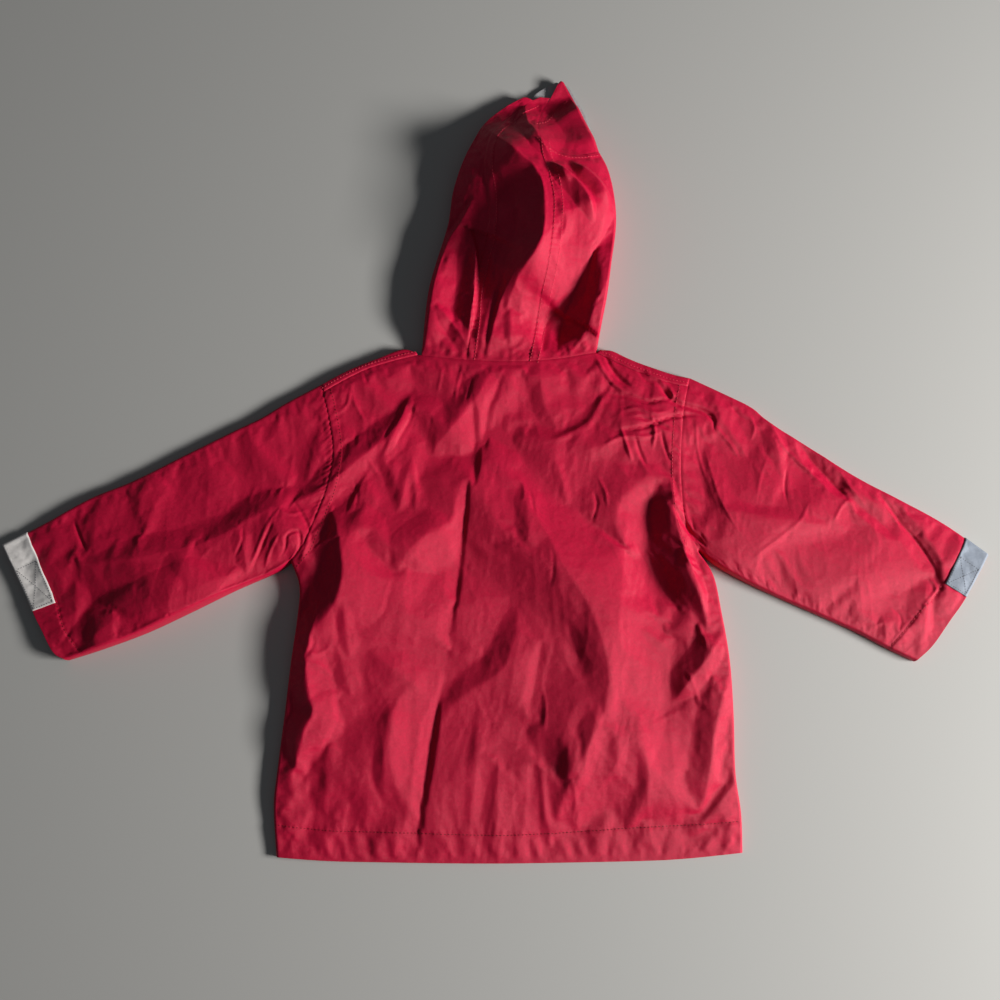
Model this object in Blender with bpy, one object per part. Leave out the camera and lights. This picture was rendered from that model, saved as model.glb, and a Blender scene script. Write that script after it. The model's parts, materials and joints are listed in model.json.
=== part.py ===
"""Kids' hooded rain jacket, laid face down on a flat surface with its sleeves spread and its hood up.

Run with: blender --background --python part.py

Lengths in the tables are millimetres and the meshes are in metres. X runs across the jacket, from
the wearer's left cuff to the right one, Y from the hem to the tip of the hood, and Z up from the
surface. The origin is the middle of the whole outline, on the surface.

Every piece of cloth is a closed wall. Its plan comes from the seam and edge lines below. The height
of the upper layer comes from one height function for the body and sleeves and one for the hood: a
plateau with soft hills, rolled down at the garment's folded edges, with the large folds laid on it.
Panels that meet along a seam read the same function, so their edges match.
"""

from collections import namedtuple

import bmesh
import bpy
import numpy as np

MM = 0.001

# Cloth and seams
CLOTH = 1.2  # wall: coated nylon with its seam allowances
TAPE = 1.0  # wall of the reflective cuff tabs
SEAM_SHIFT = 0.2  # each panel stops this far from the seam line, along one axis
FRONT_SHIFT = 0.8  # the same for the fronts, whose rows are coarser
NECK_ROOM = 1.0  # the fronts stop this far below the hood
LIE_GAP = 0.35  # between layers that lie on each other
EDGE_HEIGHT = 2.3  # height of the fold line round a flattened tube
ROLL = 12.0  # width over which the cloth turns down to a folded edge
HOOD_ROLL = 12.0
NECK_BLEND = 24.0  # width over which the hood's height leaves the body's
BRIM_LIFT = 5.7  # least height of the brim, which lies on the hood's lower edge and the lining
EDGE_INSET = 2.6  # from a folded edge to the flat lower layer

# Driving sizes
CENTRE_X = 5.0  # centre front, which is also the middle of the neck
OVERLAP = 30.0  # the left front lies over the right one by this much
LAP_START = CENTRE_X - OVERLAP / 2
LAP_END = CENTRE_X + OVERLAP / 2
PLACKET_LIFT = 1.15  # room under the placket for the snap caps
PLACKET_RAMP = 14.0  # width over which a front rises to the placket
PLACKET_BEFORE = 18.0  # the left front starts to rise this far before the overlap
PLACKET_AFTER = 40.0  # the right front is flat from this far past it
SNAP_RADIUS = 6.0
SNAP_HEIGHT = 0.8
SNAP_COUNT = 5
SNAP_PITCH = 84.0
SNAP_FIRST_Y = -340.0
SNAP_SIDES = 20
TAB_WIDTH = 25.0  # width of the reflective tape, along the sleeve
HEM_Y = -377.8  # hem at the centre front
BODY_LEFT_X = -202.0  # the body lies between these, the sleeves outside them
BODY_RIGHT_X = 226.0

# Seam and edge lines, each from its lower or inner end, as (x, y)
HEM = [
    (-194, -373), (-150, -376), (-110, -377), (-30, -378), (50, -377.5), (130, -376), (170, -374),
    (221, -369),
]
SIDE_LEFT = [
    (-194, -373), (-198, -330), (-196, -300), (-191, -250), (-187, -205), (-182, -160), (-181, -132),
    (-189, -110),
]
SIDE_RIGHT = [
    (221, -369), (221, -335), (217, -300), (217, -250), (215, -200), (209, -155), (203, -122),
    (190, -100),
]
ARMHOLE_LEFT = [
    (-189, -110), (-178, -97), (-171, -80), (-164, -60), (-157, -40), (-153, -18), (-153, 2),
    (-156, 20), (-160, 38), (-164, 53),
]
ARMHOLE_RIGHT = [
    (190, -100), (182, -86), (177, -68), (175, -41), (175, -12), (177, 17), (180, 40), (184, 58),
]
TIP_LEFT = (-166, 62)
TIP_RIGHT = (187, 68)
SHOULDER_SEAM_LEFT = [(-164, 53), (-142, 66), (-122, 76), (-100, 83), (-74, 90)]
SHOULDER_SEAM_RIGHT = [(184, 58), (165, 62), (146, 69), (126, 77), (97, 92)]
SHOULDER_EDGE_LEFT = [TIP_LEFT, (-147, 73), (-130, 81), (-110, 89), (-90, 97), (-76, 94)]
SHOULDER_EDGE_RIGHT = [TIP_RIGHT, (170, 72), (150, 79), (130, 87), (114, 95), (103, 96)]
NECK = [(-74, 90), (-50, 86.5), (-27, 84), (2, 82.3), (32, 82.3), (62, 85.4), (97, 92)]
NECK_FRONT = [(-70.5, 89), (-33, 71), (5, 50), (52, 72.5), (98, 92)]
SLEEVE_TOP_LEFT = [
    TIP_LEFT, (-200, 43), (-222, 29), (-250, 15), (-300, -11), (-340, -32), (-380, -49),
    (-420, -72), (-459, -93),
]
SLEEVE_TOP_RIGHT = [
    TIP_RIGHT, (220, 52), (245, 39), (262, 24), (300, -1), (340, -28), (380, -50),
    (420, -73), (459, -102),
]
SLEEVE_LOW_LEFT = [
    (-189, -110), (-202, -119), (-240, -136), (-280, -156), (-320, -175), (-360, -190), (-391, -200),
]
SLEEVE_LOW_RIGHT = [
    (190, -100), (206, -113), (240, -132), (290, -155), (330, -173), (364, -191), (385, -201),
]
CUFF_LEFT = [(-391, -200), (-403, -193), (-416, -172), (-427, -153), (-459, -93)]
CUFF_RIGHT = [(385, -201), (401, -186), (418, -163), (433, -143), (459, -102)]

# The hood, from the neck up
HOOD_EDGE_LEFT = [
    (-70.5, 90), (-68, 125), (-64, 158), (-54, 195), (-46, 225), (-42, 255), (-35, 280), (-26, 302),
    (-10, 330), (10, 349), (28, 360),
]
HOOD_EDGE_RIGHT = [
    (98, 93), (103, 120), (108, 145), (113, 180), (118, 215), (117, 243), (112, 272), (104, 292),
]
HOOD_SEAM_LEFT = [
    (-27, 84), (-22, 120), (-20, 150), (-14, 178), (-7, 205), (-6, 240), (-10, 270), (-6, 300),
    (10, 329), (38, 356),
]
HOOD_SEAM_RIGHT = [
    (32, 81.5), (38, 110), (43, 140), (50, 170), (54, 200), (55, 230), (51, 255), (45, 278), (43, 300),
]
BRIM_EDGE_LEFT = [(43, 300), (42, 318), (47, 343), (57, 361), (66, 378)]
BRIM_EDGE_RIGHT = [(104, 292), (98, 312), (88, 338), (79, 357), (69, 377)]
HOOD_TIP = [(28, 360), (45, 362), (66, 378)]
BRIM_SEAM = [(43, 300), (53, 289), (76, 283), (104, 292)]
LIP_LEFT = [(-9, 57.7), (-8, 100), (-4, 160), (6, 220), (18, 280), (30, 325), (44, 348)]
LIP_RIGHT = [(20, 55.5), (33, 100), (45, 160), (57, 220), (66, 262), (72, 285)]
CENTRE_TOP_Y = 346.0  # the centre panel follows the brim up to here
LINING_LEFT = [(31, 350), (42, 366), (62, 378)]
LINING_RIGHT = [(95, 328), (90, 343), (83, 357), (74, 373)]

# Soft hills that lift the plateau: middle, radii and height
Hill = namedtuple("Hill", "x y across along height")
PLATEAU = 9.0
HILLS = [
    Hill(-95, -150, 70, 110, 4),
    Hill(-178, -210, 26, 60, 7),
    Hill(-165, -105, 26, 40, 4),
    Hill(192, -190, 32, 85, 7),
    Hill(150, 25, 55, 45, 4),
    Hill(15, 78, 70, 28, 5),
    Hill(70, -140, 70, 110, 2),
    Hill(-280, -118, 80, 40, 4),
    Hill(-195, -88, 24, 22, 5),
    Hill(250, -70, 75, 50, 5),
    Hill(350, -125, 70, 45, 3),
]
HEM_PLATEAU = 4.4
HEM_START = -376.0
HEM_RISE = 85.0  # distance over which the body lifts from the hem
HEM_MIDDLE = Hill(12, -376, 42, 400, 2.0)

HOOD_PLATEAU = 13.0
HOOD_HILLS = [
    Hill(18, 215, 52, 62, 10),
    Hill(98, 165, 22, 60, 6),
    Hill(98, 222, 36, 58, 11),
    Hill(72, 332, 46, 36, -13),
]

# Large folds. The route runs up or to the right, left and right are the widths of its two slopes, and
# height is above the cloth round it, less than nothing for a valley. Each end is level with the cloth.
Fold = namedtuple("Fold", "name left right height route")
BODY_FOLDS = [
    Fold("centre valley", 18, 13, -6.0, [
        (-71, -378), (-66, -330), (-53, -250), (-40, -165), (-30, -90), (-26, -50), (-22, -10),
    ]),
    Fold("left underarm ridge", 26, 62, 12, [
        (-158, -175), (-142, -150), (-137, -120), (-141, -95), (-152, -70), (-160, -50),
    ]),
    Fold("left sleeve ridge", 18, 34, 6.5, [
        (-395, -112), (-340, -104), (-290, -92), (-240, -72), (-190, -55), (-152, -30), (-118, -6),
        (-100, 14),
    ]),
    Fold("upper left ridge", 18, 32, 6, [(-62, -12), (-42, 8), (-28, 28), (-13, 50), (4, 74)]),
    Fold("collar ridge", 20, 16, 4, [(62, 8), (50, 42), (43, 64), (42, 86)]),
    Fold("right dip", 22, 16, -7, [
        (152, -190), (143, -150), (141, -110), (144, -60), (141, -20), (134, 10),
    ]),
    Fold("right underarm ridge", 26, 18, 13, [
        (176, -172), (188, -148), (190, -130), (176, -98), (168, -70), (168, -38),
    ]),
    Fold("right long ridge", 32, 26, 7, [
        (96, -230), (107, -185), (116, -150), (120, -105), (123, -50), (123, 5),
    ]),
    Fold("right lower ridge", 15, 24, 6, [(52, -352), (68, -315), (82, -275), (95, -240), (102, -200)]),
    Fold("right corner ridge", 15, 20, 5, [(160, -235), (174, -212), (188, -198), (207, -170)]),
    Fold("right side ridge", 14, 16, 4.5, [(178, -325), (187, -290), (194, -260), (206, -215)]),
    Fold("middle ridge", 15, 24, 4, [(64, -180), (57, -150), (56, -120), (54, -95)]),
    Fold("left lower ridge", 17, 26, 5, [
        (-70, -342), (-86, -315), (-93, -285), (-90, -250), (-82, -226),
    ]),
    Fold("lower middle ridge", 16, 28, 4, [
        (-50, -255), (-28, -230), (-2, -208), (14, -180), (14, -148),
    ]),
    Fold("middle left ridge", 18, 24, 3.5, [(-84, -132), (-74, -104), (-58, -84), (-42, -68)]),
    Fold("hanging ridge", 14, 20, 3, [(132, -345), (136, -310), (133, -280), (120, -258)]),
    Fold("shoulder crease", 13, 14, -5, [(140, 66), (160, 50), (176, 38), (200, 30), (212, 12)]),
    Fold("right sleeve valley", 16, 14, -6, [
        (404, -112), (372, -84), (330, -48), (297, -16), (272, 18),
    ]),
    Fold("right sleeve ridge", 12, 12, 4, [(222, -122), (250, -102), (280, -76), (306, -46)]),
    Fold("right sleeve fan", 14, 14, 3.5, [(234, -92), (216, -58), (204, -20), (198, 16)]),
    Fold("cuff ridge right", 14, 12, 3, [(392, -178), (388, -152), (382, -128)]),
    Fold("left sleeve dent", 13, 13, 4, [(-294, -162), (-290, -138), (-281, -102)]),
    Fold("left elbow ridge", 12, 12, 3.5, [(-228, -126), (-226, -100), (-210, -66)]),
]
HOOD_FOLDS = [
    Fold("hood crest", 78, 96, 32, [
        (-14, 84), (0, 118), (11, 146), (26, 168), (40, 182), (44, 205), (45, 228), (41, 250),
        (30, 270), (14, 298), (0, 326),
    ]),
    Fold("hood left ridge", 13, 24, 7, [(-62, 92), (-58, 130), (-51, 165), (-42, 200)]),
    Fold("hood left crease", 14, 12, 5, [(-27, 100), (-21, 140), (-19, 180), (-28, 215)]),
    Fold("hood right valley", 40, 22, -13, [
        (60, 84), (66, 110), (78, 140), (93, 172), (108, 204), (114, 226),
    ]),
    Fold("hood right roll", 20, 13, 8, [(90, 100), (99, 130), (101, 160), (105, 195)]),
    Fold("hood top ridge", 16, 16, 7, [(56, 270), (42, 288), (34, 306), (28, 330), (27, 350)]),
    Fold("hood oval ridge", 18, 12, 6, [(88, 214), (94, 236), (88, 256), (76, 274)]),
    Fold("neck dart", 10, 12, -4, [(48, 86), (47, 108), (52, 128)]),
]

MATERIALS = {
    "red_cloth": ((0.42, 0.012, 0.03, 1), 0.55),
    "grey_tape": ((0.36, 0.35, 0.35, 1), 0.45),
    "grey_lining": ((0.42, 0.41, 0.42, 1), 0.7),
    "snap_red": ((0.3, 0.01, 0.02, 1), 0.35),
}


def clear_scene():
    for item in list(bpy.data.objects):
        bpy.data.objects.remove(item, do_unlink=True)


def make_materials():
    made = {}
    for name, (colour, roughness) in MATERIALS.items():
        material = bpy.data.materials.new(name)
        material.use_nodes = True
        shader = material.node_tree.nodes["Principled BSDF"]
        shader.inputs["Base Color"].default_value = colour
        shader.inputs["Roughness"].default_value = roughness
        material.diffuse_color = colour
        made[name] = material
    return made


# Lines in plan


def smooth(points, pieces=6):
    """A Catmull-Rom curve through the points, as a polyline."""
    p = np.array(points, float)
    p = np.vstack([2 * p[0] - p[1], p, 2 * p[-1] - p[-2]])
    t = (np.arange(pieces) / pieces)[:, None]
    runs = []
    for a, b, c, d in zip(p, p[1:], p[2:], p[3:]):
        bend = a - 2.5 * b + 2 * c - d / 2
        turn = 1.5 * (b - c) + (d - a) / 2
        runs.append(b + t * (c - a) / 2 + t**2 * bend + t**3 * turn)
    return np.vstack(runs + [p[-2:-1]])


def at(line, fractions):
    """Points at these fractions of the line's length."""
    steps = np.linalg.norm(np.diff(line, axis=0), axis=1)
    reach = np.concatenate([[0], np.cumsum(steps)]) / steps.sum()
    return np.stack([np.interp(fractions, reach, line[:, k]) for k in (0, 1)], axis=-1)


def joined(*lines):
    """One polyline through lines that follow each other, without repeated points."""
    points = np.vstack(lines)
    keep = np.concatenate([[True], np.linalg.norm(np.diff(points, axis=0), axis=1) > 0.01])
    return points[keep]


def between(line, start, end, count=12):
    """The stretch of a line between the places nearest to two points."""
    (first, last) = nearest(np.array([start, end], float), line)[1]
    return at(line, np.linspace(first, last, count))


def moved(line, x=0.0, y=0.0):
    return np.asarray(line, float) + (x, y)


def patch(low, high, left, right, across, up):
    """Plan points between four lines that share corners, as rows up and columns across."""
    u = np.asarray(across)[None, :, None]
    v = np.asarray(up)[:, None, None]
    b, t = at(low, across)[None], at(high, across)[None]
    s, e = at(left, up)[:, None], at(right, up)[:, None]
    corners = (1 - v) * ((1 - u) * low[0] + u * low[-1]) + v * ((1 - u) * high[0] + u * high[-1])
    return (1 - v) * b + v * t + (1 - u) * s + u * e - corners


def nearest(xy, line):
    """Distance to the line, how far along it the nearest point is (0 to 1), and the side (+1 on the left)."""
    a, d = line[:-1], np.diff(line, axis=0)
    length = np.linalg.norm(d, axis=1)
    start = np.concatenate([[0], np.cumsum(length)[:-1]])
    flat = xy.reshape(-1, 1, 2)
    t = np.clip(((flat - a) * d).sum(-1) / length**2, 0, 1)
    off = flat - (a + t[..., None] * d)
    gap = np.linalg.norm(off, axis=-1)
    best = gap.argmin(axis=1)
    rows = np.arange(len(best))
    off = off[rows, best]
    side = np.where(d[best, 0] * off[:, 1] - d[best, 1] * off[:, 0] >= 0, 1.0, -1.0)
    along = (start[best] + t[rows, best] * length[best]) / length.sum()
    shape = xy.shape[:-1]
    return gap[rows, best].reshape(shape), along.reshape(shape), side.reshape(shape)


# Heights of the upper layer


def ease(t):
    t = np.clip(t, 0, 1)
    return t * t * (3 - 2 * t)


def hills(xy, rows):
    total = np.zeros(xy.shape[:-1])
    for hill in rows:
        far = ((xy[..., 0] - hill.x) / hill.across) ** 2 + ((xy[..., 1] - hill.y) / hill.along) ** 2
        total += hill.height * np.exp(-far)
    return total


def fold_height(xy, fold):
    """A soft ridge or valley with its own slope on each side, which dies away at both ends."""
    gap, along, side = nearest(xy, smooth(fold.route))
    width = np.where(side > 0, fold.left, fold.right)
    fade = ease(along / 0.2) * ease((1 - along) / 0.2)
    return fold.height * ease(1 - gap / width) * fade


def rolled(gap, width):
    """A quarter-round rise from a folded edge: 0 on the edge, 1 from the width inwards."""
    return np.sqrt(1 - (1 - np.clip(gap / width, 0, 1)) ** 2)


def lower_layer(xy):
    """Top of the lower layer: the fronts, and their overlap at the centre."""
    first = LAP_START - PLACKET_BEFORE
    last = LAP_END + PLACKET_AFTER + PLACKET_RAMP
    middle, half = (first + last) / 2, (last - first) / 2
    over = ease((half - np.abs(xy[..., 0] - middle)) / PLACKET_RAMP)
    over = over * ease((NECK_FRONT[2][1] + 20 - xy[..., 1]) / 20)
    return CLOTH + over * (PLACKET_LIFT + LIE_GAP + CLOTH)


def body_height(xy):
    """Outer height of the back and of the sleeves' upper layer."""
    plateau = PLATEAU + hills(xy, HILLS)
    for fold in BODY_FOLDS:
        plateau = plateau + fold_height(xy, fold)
    low = HEM_PLATEAU + hills(xy, [HEM_MIDDLE])
    body = (xy[..., 0] > BODY_LEFT_X) & (xy[..., 0] < BODY_RIGHT_X)
    lift = np.where(body, ease((xy[..., 1] - HEM_START) / HEM_RISE), 1.0)
    plateau = low + (plateau - low) * lift
    gap = np.min([nearest(xy, line)[0] for line in FOLDED_EDGES], axis=0)
    height = EDGE_HEIGHT + (plateau - EDGE_HEIGHT) * rolled(gap, ROLL)
    return np.maximum(height, lower_layer(xy) + LIE_GAP + CLOTH)


def hood_height(xy):
    """Outer height of the hood, which meets the body's height at the neck."""
    plateau = HOOD_PLATEAU + hills(xy, HOOD_HILLS)
    for fold in HOOD_FOLDS:
        plateau = plateau + fold_height(xy, fold)
    gap = nearest(xy, HOOD_OUTLINE)[0]
    height = EDGE_HEIGHT + (plateau - EDGE_HEIGHT) * rolled(gap, HOOD_ROLL)
    neck_gap = nearest(xy, smooth(NECK))[0]
    height = height + (body_height(xy) - height) * ease(1 - neck_gap / NECK_BLEND)
    return np.maximum(height, CLOTH + LIE_GAP + CLOTH)


FOLDED_EDGES = [
    joined(smooth(SIDE_LEFT), smooth(SLEEVE_LOW_LEFT)),
    joined(smooth(SIDE_RIGHT), smooth(SLEEVE_LOW_RIGHT)),
    joined(smooth(SHOULDER_EDGE_LEFT)[::-1], smooth(SLEEVE_TOP_LEFT)),
    joined(smooth(SHOULDER_EDGE_RIGHT)[::-1], smooth(SLEEVE_TOP_RIGHT)),
]
HOOD_OUTLINE = joined(
    smooth(HOOD_EDGE_LEFT),
    smooth(HOOD_TIP),
    smooth(BRIM_EDGE_RIGHT)[::-1],
    smooth(HOOD_EDGE_RIGHT)[::-1],
)


# Walls


def upright(plan, height):
    return np.concatenate([plan, height[..., None]], axis=-1)


def inside(outer, thickness=CLOTH, floor=None):
    """Inner points of an upper layer: along the normal inside it, straight down on its border."""
    along_u, along_v = np.gradient(outer, axis=1), np.gradient(outer, axis=0)
    normal = np.cross(along_u, along_v)
    normal /= np.linalg.norm(normal, axis=-1, keepdims=True)
    normal *= np.sign(normal[..., 2:])
    for border in (np.s_[0, :], np.s_[-1, :], np.s_[:, 0], np.s_[:, -1]):
        normal[border] = (0, 0, 1)
    inner = outer - thickness * normal
    if floor is not None:
        inner[..., 2] = np.maximum(inner[..., 2], floor)
    return inner


def wall(name, outer, inner, material, ring=False, keep=None):
    """A closed wall between two grids of points. keep marks the cells that hold cloth, and a ring joins
    its last column to its first."""
    rows, columns = outer.shape[:2]
    mesh = bmesh.new()
    used = {}

    def corner(grid, r, c):
        key = (grid, r, c % columns)
        if key not in used:
            point = (outer, inner)[grid][r, c % columns] * MM
            used[key] = mesh.verts.new(point)
        return used[key]

    cells = {(r, c) for r in range(rows - 1) for c in range(columns if ring else columns - 1)}
    if keep is not None:
        cells = {cell for cell in cells if keep(*cell)}
    edges = {}
    for r, c in cells:
        round_cell = [(r, c), (r, c + 1), (r + 1, c + 1), (r + 1, c)]
        mesh.faces.new([corner(0, *p) for p in round_cell])
        mesh.faces.new([corner(1, *p) for p in reversed(round_cell)])
        for p, q in zip(round_cell, round_cell[1:] + round_cell[:1]):
            p, q = (p[0], p[1] % columns), (q[0], q[1] % columns)
            edges[frozenset((p, q))] = None if frozenset((p, q)) in edges else (p, q)
    for pair in filter(None, edges.values()):
        p, q = pair
        mesh.faces.new([corner(0, *q), corner(0, *p), corner(1, *p), corner(1, *q)])
    bmesh.ops.recalc_face_normals(mesh, faces=mesh.faces)
    if mesh.calc_volume(signed=True) < 0:
        bmesh.ops.reverse_faces(mesh, faces=mesh.faces)
    return finish(name, mesh, material)


def finish(name, mesh, material):
    data = bpy.data.meshes.new(name)
    mesh.to_mesh(data)
    mesh.free()
    data.materials.append(material)
    data.shade_smooth()
    data.set_sharp_from_angle(angle=np.radians(50))
    made = bpy.data.objects.new(name, data)
    bpy.context.scene.collection.objects.link(made)
    return made


def edge_points(edge, next_column, height=EDGE_HEIGHT, thickness=CLOTH):
    """Outer and inner points of a folded edge: the inner ones are moved in along the plan."""
    inward = next_column - edge
    inward /= np.linalg.norm(inward, axis=-1, keepdims=True)
    level = np.full(edge.shape[:-1], height)
    return upright(edge, level), upright(edge + thickness * inward, level)


def even(count, first, last):
    return list(np.linspace(first, last, count))


# Body

SHOULDER_SHARE = 0.66  # share of a front's width at the hem that runs up to its shoulder


def make_back(red):
    left = joined(moved(smooth(SIDE_LEFT), SEAM_SHIFT), moved(smooth(ARMHOLE_LEFT), SEAM_SHIFT))
    right = joined(moved(smooth(SIDE_RIGHT), -SEAM_SHIFT), moved(smooth(ARMHOLE_RIGHT), -SEAM_SHIFT))
    top = joined(smooth(SHOULDER_SEAM_LEFT), smooth(NECK), smooth(SHOULDER_SEAM_RIGHT)[::-1])
    top = moved(top, y=-SEAM_SHIFT)
    top[0], top[-1] = left[-1], right[-1]
    bottom = moved(smooth(HEM))
    bottom[0], bottom[-1] = left[0], right[0]
    across = [0, 0.005, 0.016, 0.034] + even(32, 0.062, 0.938) + [0.966, 0.984, 0.995, 1]
    up = even(37, 0, 1)
    plan = patch(bottom, top, left, right, across, up)
    outer = upright(plan, body_height(plan))
    return wall("back_panel", outer, inside(outer, floor=lower_layer(plan) + LIE_GAP), red)


def make_front(name, side, armhole, shoulder_edge, shoulder_seam, sign, height, red):
    """One front: flat on the surface, then round the shoulder fold to the seam with the back."""
    outer_side = joined(smooth(side), smooth(armhole), np.array([shoulder_edge[0]], float))
    outer_side = moved(outer_side, -sign * FRONT_SHIFT)
    centre_x = CENTRE_X - sign * OVERLAP / 2
    hem = smooth(HEM)
    hem = hem[hem[:, 0] < centre_x] if sign < 0 else hem[hem[:, 0] > centre_x][::-1]
    hem = joined(hem, np.array([(centre_x, HEM_Y)]))
    hem[0] = outer_side[0]
    edge = smooth(shoulder_edge)
    inset = moved(edge, y=-EDGE_INSET)
    inset[0] = outer_side[-1] + (0, -EDGE_INSET)
    front_neck = moved(smooth(NECK_FRONT), y=-NECK_ROOM)
    place = np.interp(centre_x, front_neck[:, 0], front_neck[:, 1])
    middle = np.array([(centre_x, HEM_Y), (centre_x, place)])
    neckline = between(front_neck, inset[-1], middle[-1])
    neckline[0] = inset[-1]
    across_shoulder = even(9, 0, 1)
    across_neck = even(5, 0, 1)[1:]
    top = np.vstack([at(inset, across_shoulder), at(neckline, across_neck)])
    across = even(len(across_shoulder), 0, SHOULDER_SHARE) + even(len(across_neck) + 1, SHOULDER_SHARE, 1)[1:]
    outer_side[-1] = inset[0]
    up = even(9, 0, 0.56) + even(17, 0.58, 1)
    u = np.array(across)[None, :, None]
    v = np.array(up)[:, None, None]
    low, left, right = at(hem, across)[None], at(outer_side, up)[:, None], at(middle, up)[:, None]
    corners = (1 - v) * ((1 - u) * hem[0] + u * hem[-1]) + v * ((1 - u) * top[0] + u * top[-1])
    flat = (1 - v) * low + v * top[None] + (1 - u) * left + u * right - corners
    lift = height(flat[..., 0])
    outer = [upright(flat, lift)]
    inner = [upright(flat, lift + CLOTH)]
    # the fold line and the lap on the upper side, under the columns of the shoulder only
    count = len(across_shoulder)
    fold_line = at(edge, across_shoulder)
    seam_line = at(moved(smooth(shoulder_seam), y=3 * SEAM_SHIFT), across_shoulder)
    for line in (fold_line, seam_line):
        line[0, 0] -= sign * FRONT_SHIFT
    pad = np.zeros((len(across) - count, 2)) + top[count:]
    full = np.vstack([fold_line, pad])
    full_in = np.vstack([moved(fold_line, y=-CLOTH), pad])
    level = np.full(len(across), EDGE_HEIGHT)
    outer.append(upright(full, level)[None])
    inner.append(upright(full_in, level)[None])
    for reach in (0.3, 1.0):
        row = np.vstack([fold_line + reach * (seam_line - fold_line), pad])
        z = body_height(row)
        outer.append(upright(row, z)[None])
        inner.append(upright(row, np.maximum(z - CLOTH, CLOTH + LIE_GAP))[None])
    outer, inner = np.concatenate(outer), np.concatenate(inner)
    flat_rows = len(up) - 1
    return wall(name, outer, inner, red, keep=lambda r, c: r < flat_rows or c < count - 1)


def make_fronts(red):
    def left_height(x):
        return PLACKET_LIFT * ease((x - LAP_START + PLACKET_BEFORE) / PLACKET_RAMP)

    def right_height(x):
        return (PLACKET_LIFT + CLOTH + LIE_GAP) * ease((LAP_END + PLACKET_AFTER - x) / PLACKET_RAMP)

    left = (SIDE_LEFT, ARMHOLE_LEFT, SHOULDER_EDGE_LEFT, SHOULDER_SEAM_LEFT)
    right = (SIDE_RIGHT, ARMHOLE_RIGHT, SHOULDER_EDGE_RIGHT, SHOULDER_SEAM_RIGHT)
    make_front("front_left", *left, -1, left_height, red)
    make_front("front_right", *right, 1, right_height, red)


def make_snaps(material):
    for number in range(SNAP_COUNT):
        mesh = bmesh.new()
        radius = SNAP_RADIUS * MM
        bmesh.ops.create_cone(
            mesh, cap_ends=True, segments=SNAP_SIDES, radius1=radius, radius2=radius, depth=SNAP_HEIGHT * MM
        )
        middle = (CENTRE_X, SNAP_FIRST_Y + number * SNAP_PITCH, SNAP_HEIGHT / 2)
        bmesh.ops.translate(mesh, verts=mesh.verts, vec=[value * MM for value in middle])
        finish(f"snap_{number + 1}", mesh, material)


# Sleeves

SLEEVE_ACROSS = [0.025, 0.075, 0.15, 0.25, 0.35, 0.45, 0.53, 0.61, 0.75, 0.85, 0.925, 0.975]
SLEEVE_BELOW = [0.97, 0.86, 0.74, 0.6, 0.45, 0.3, 0.15, 0.03]
TAB_FROM = {"left": 5, "right": 7}  # the tab starts at this column of the upper layer
TAB_UNDER = 3  # and covers this many columns of the lower one


def make_sleeve(side, armhole, top_line, low_line, cuff, sign, materials):
    """One sleeve: a flattened tube, and the reflective tab that wraps the upper fold of its cuff."""
    tip = top_line[0]
    armhole = joined(smooth(armhole), np.array([tip], float))
    start, end = moved(armhole, sign * SEAM_SHIFT), smooth(cuff)
    low, high = moved(smooth(low_line)), moved(smooth(top_line))
    low[0], high[0] = start[0], start[-1]
    length = np.linalg.norm(np.diff(high, axis=0), axis=1).sum()
    tab_row = 1 - TAB_WIDTH / length
    up = even(17, 0, tab_row - 0.015) + [tab_row, (1 + tab_row) / 2, 1]

    def plan_at(across):
        return patch(start, end, low, high, across, up)

    upper = plan_at(SLEEVE_ACROSS)
    lower = plan_at(SLEEVE_BELOW)
    lower_edge, upper_edge = plan_at([0.0])[:, 0], plan_at([1.0])[:, 0]
    edge_low = edge_points(lower_edge, upper[:, 0])
    edge_high = edge_points(upper_edge, upper[:, -1])
    top = upright(upper, body_height(upper))
    top_in = inside(top, floor=CLOTH + LIE_GAP)
    # the lower layer lifts under the tab, so that the tab lies on the surface
    lift = np.zeros(lower.shape[:-1])
    lift[-3:, :TAB_UNDER] = TAPE + LIE_GAP
    bottom, bottom_in = upright(lower, lift), upright(lower, lift + CLOTH)
    outer = np.concatenate([edge_low[0][:, None], top, edge_high[0][:, None], bottom], axis=1)
    inner = np.concatenate([edge_low[1][:, None], top_in, edge_high[1][:, None], bottom_in], axis=1)
    wall(f"sleeve_{side}", outer, inner, materials["red_cloth"], ring=True)

    first = 1 + TAB_FROM[side]
    last = 1 + len(SLEEVE_ACROSS) + 1 + TAB_UNDER
    out = (outer - inner)[-3:, first:last]
    out /= np.linalg.norm(out, axis=-1, keepdims=True)
    base = outer[-3:, first:last]
    wall(f"cuff_tab_{side}", base + (LIE_GAP + TAPE) * out, base + LIE_GAP * out, materials["grey_tape"])


# Hood


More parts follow.
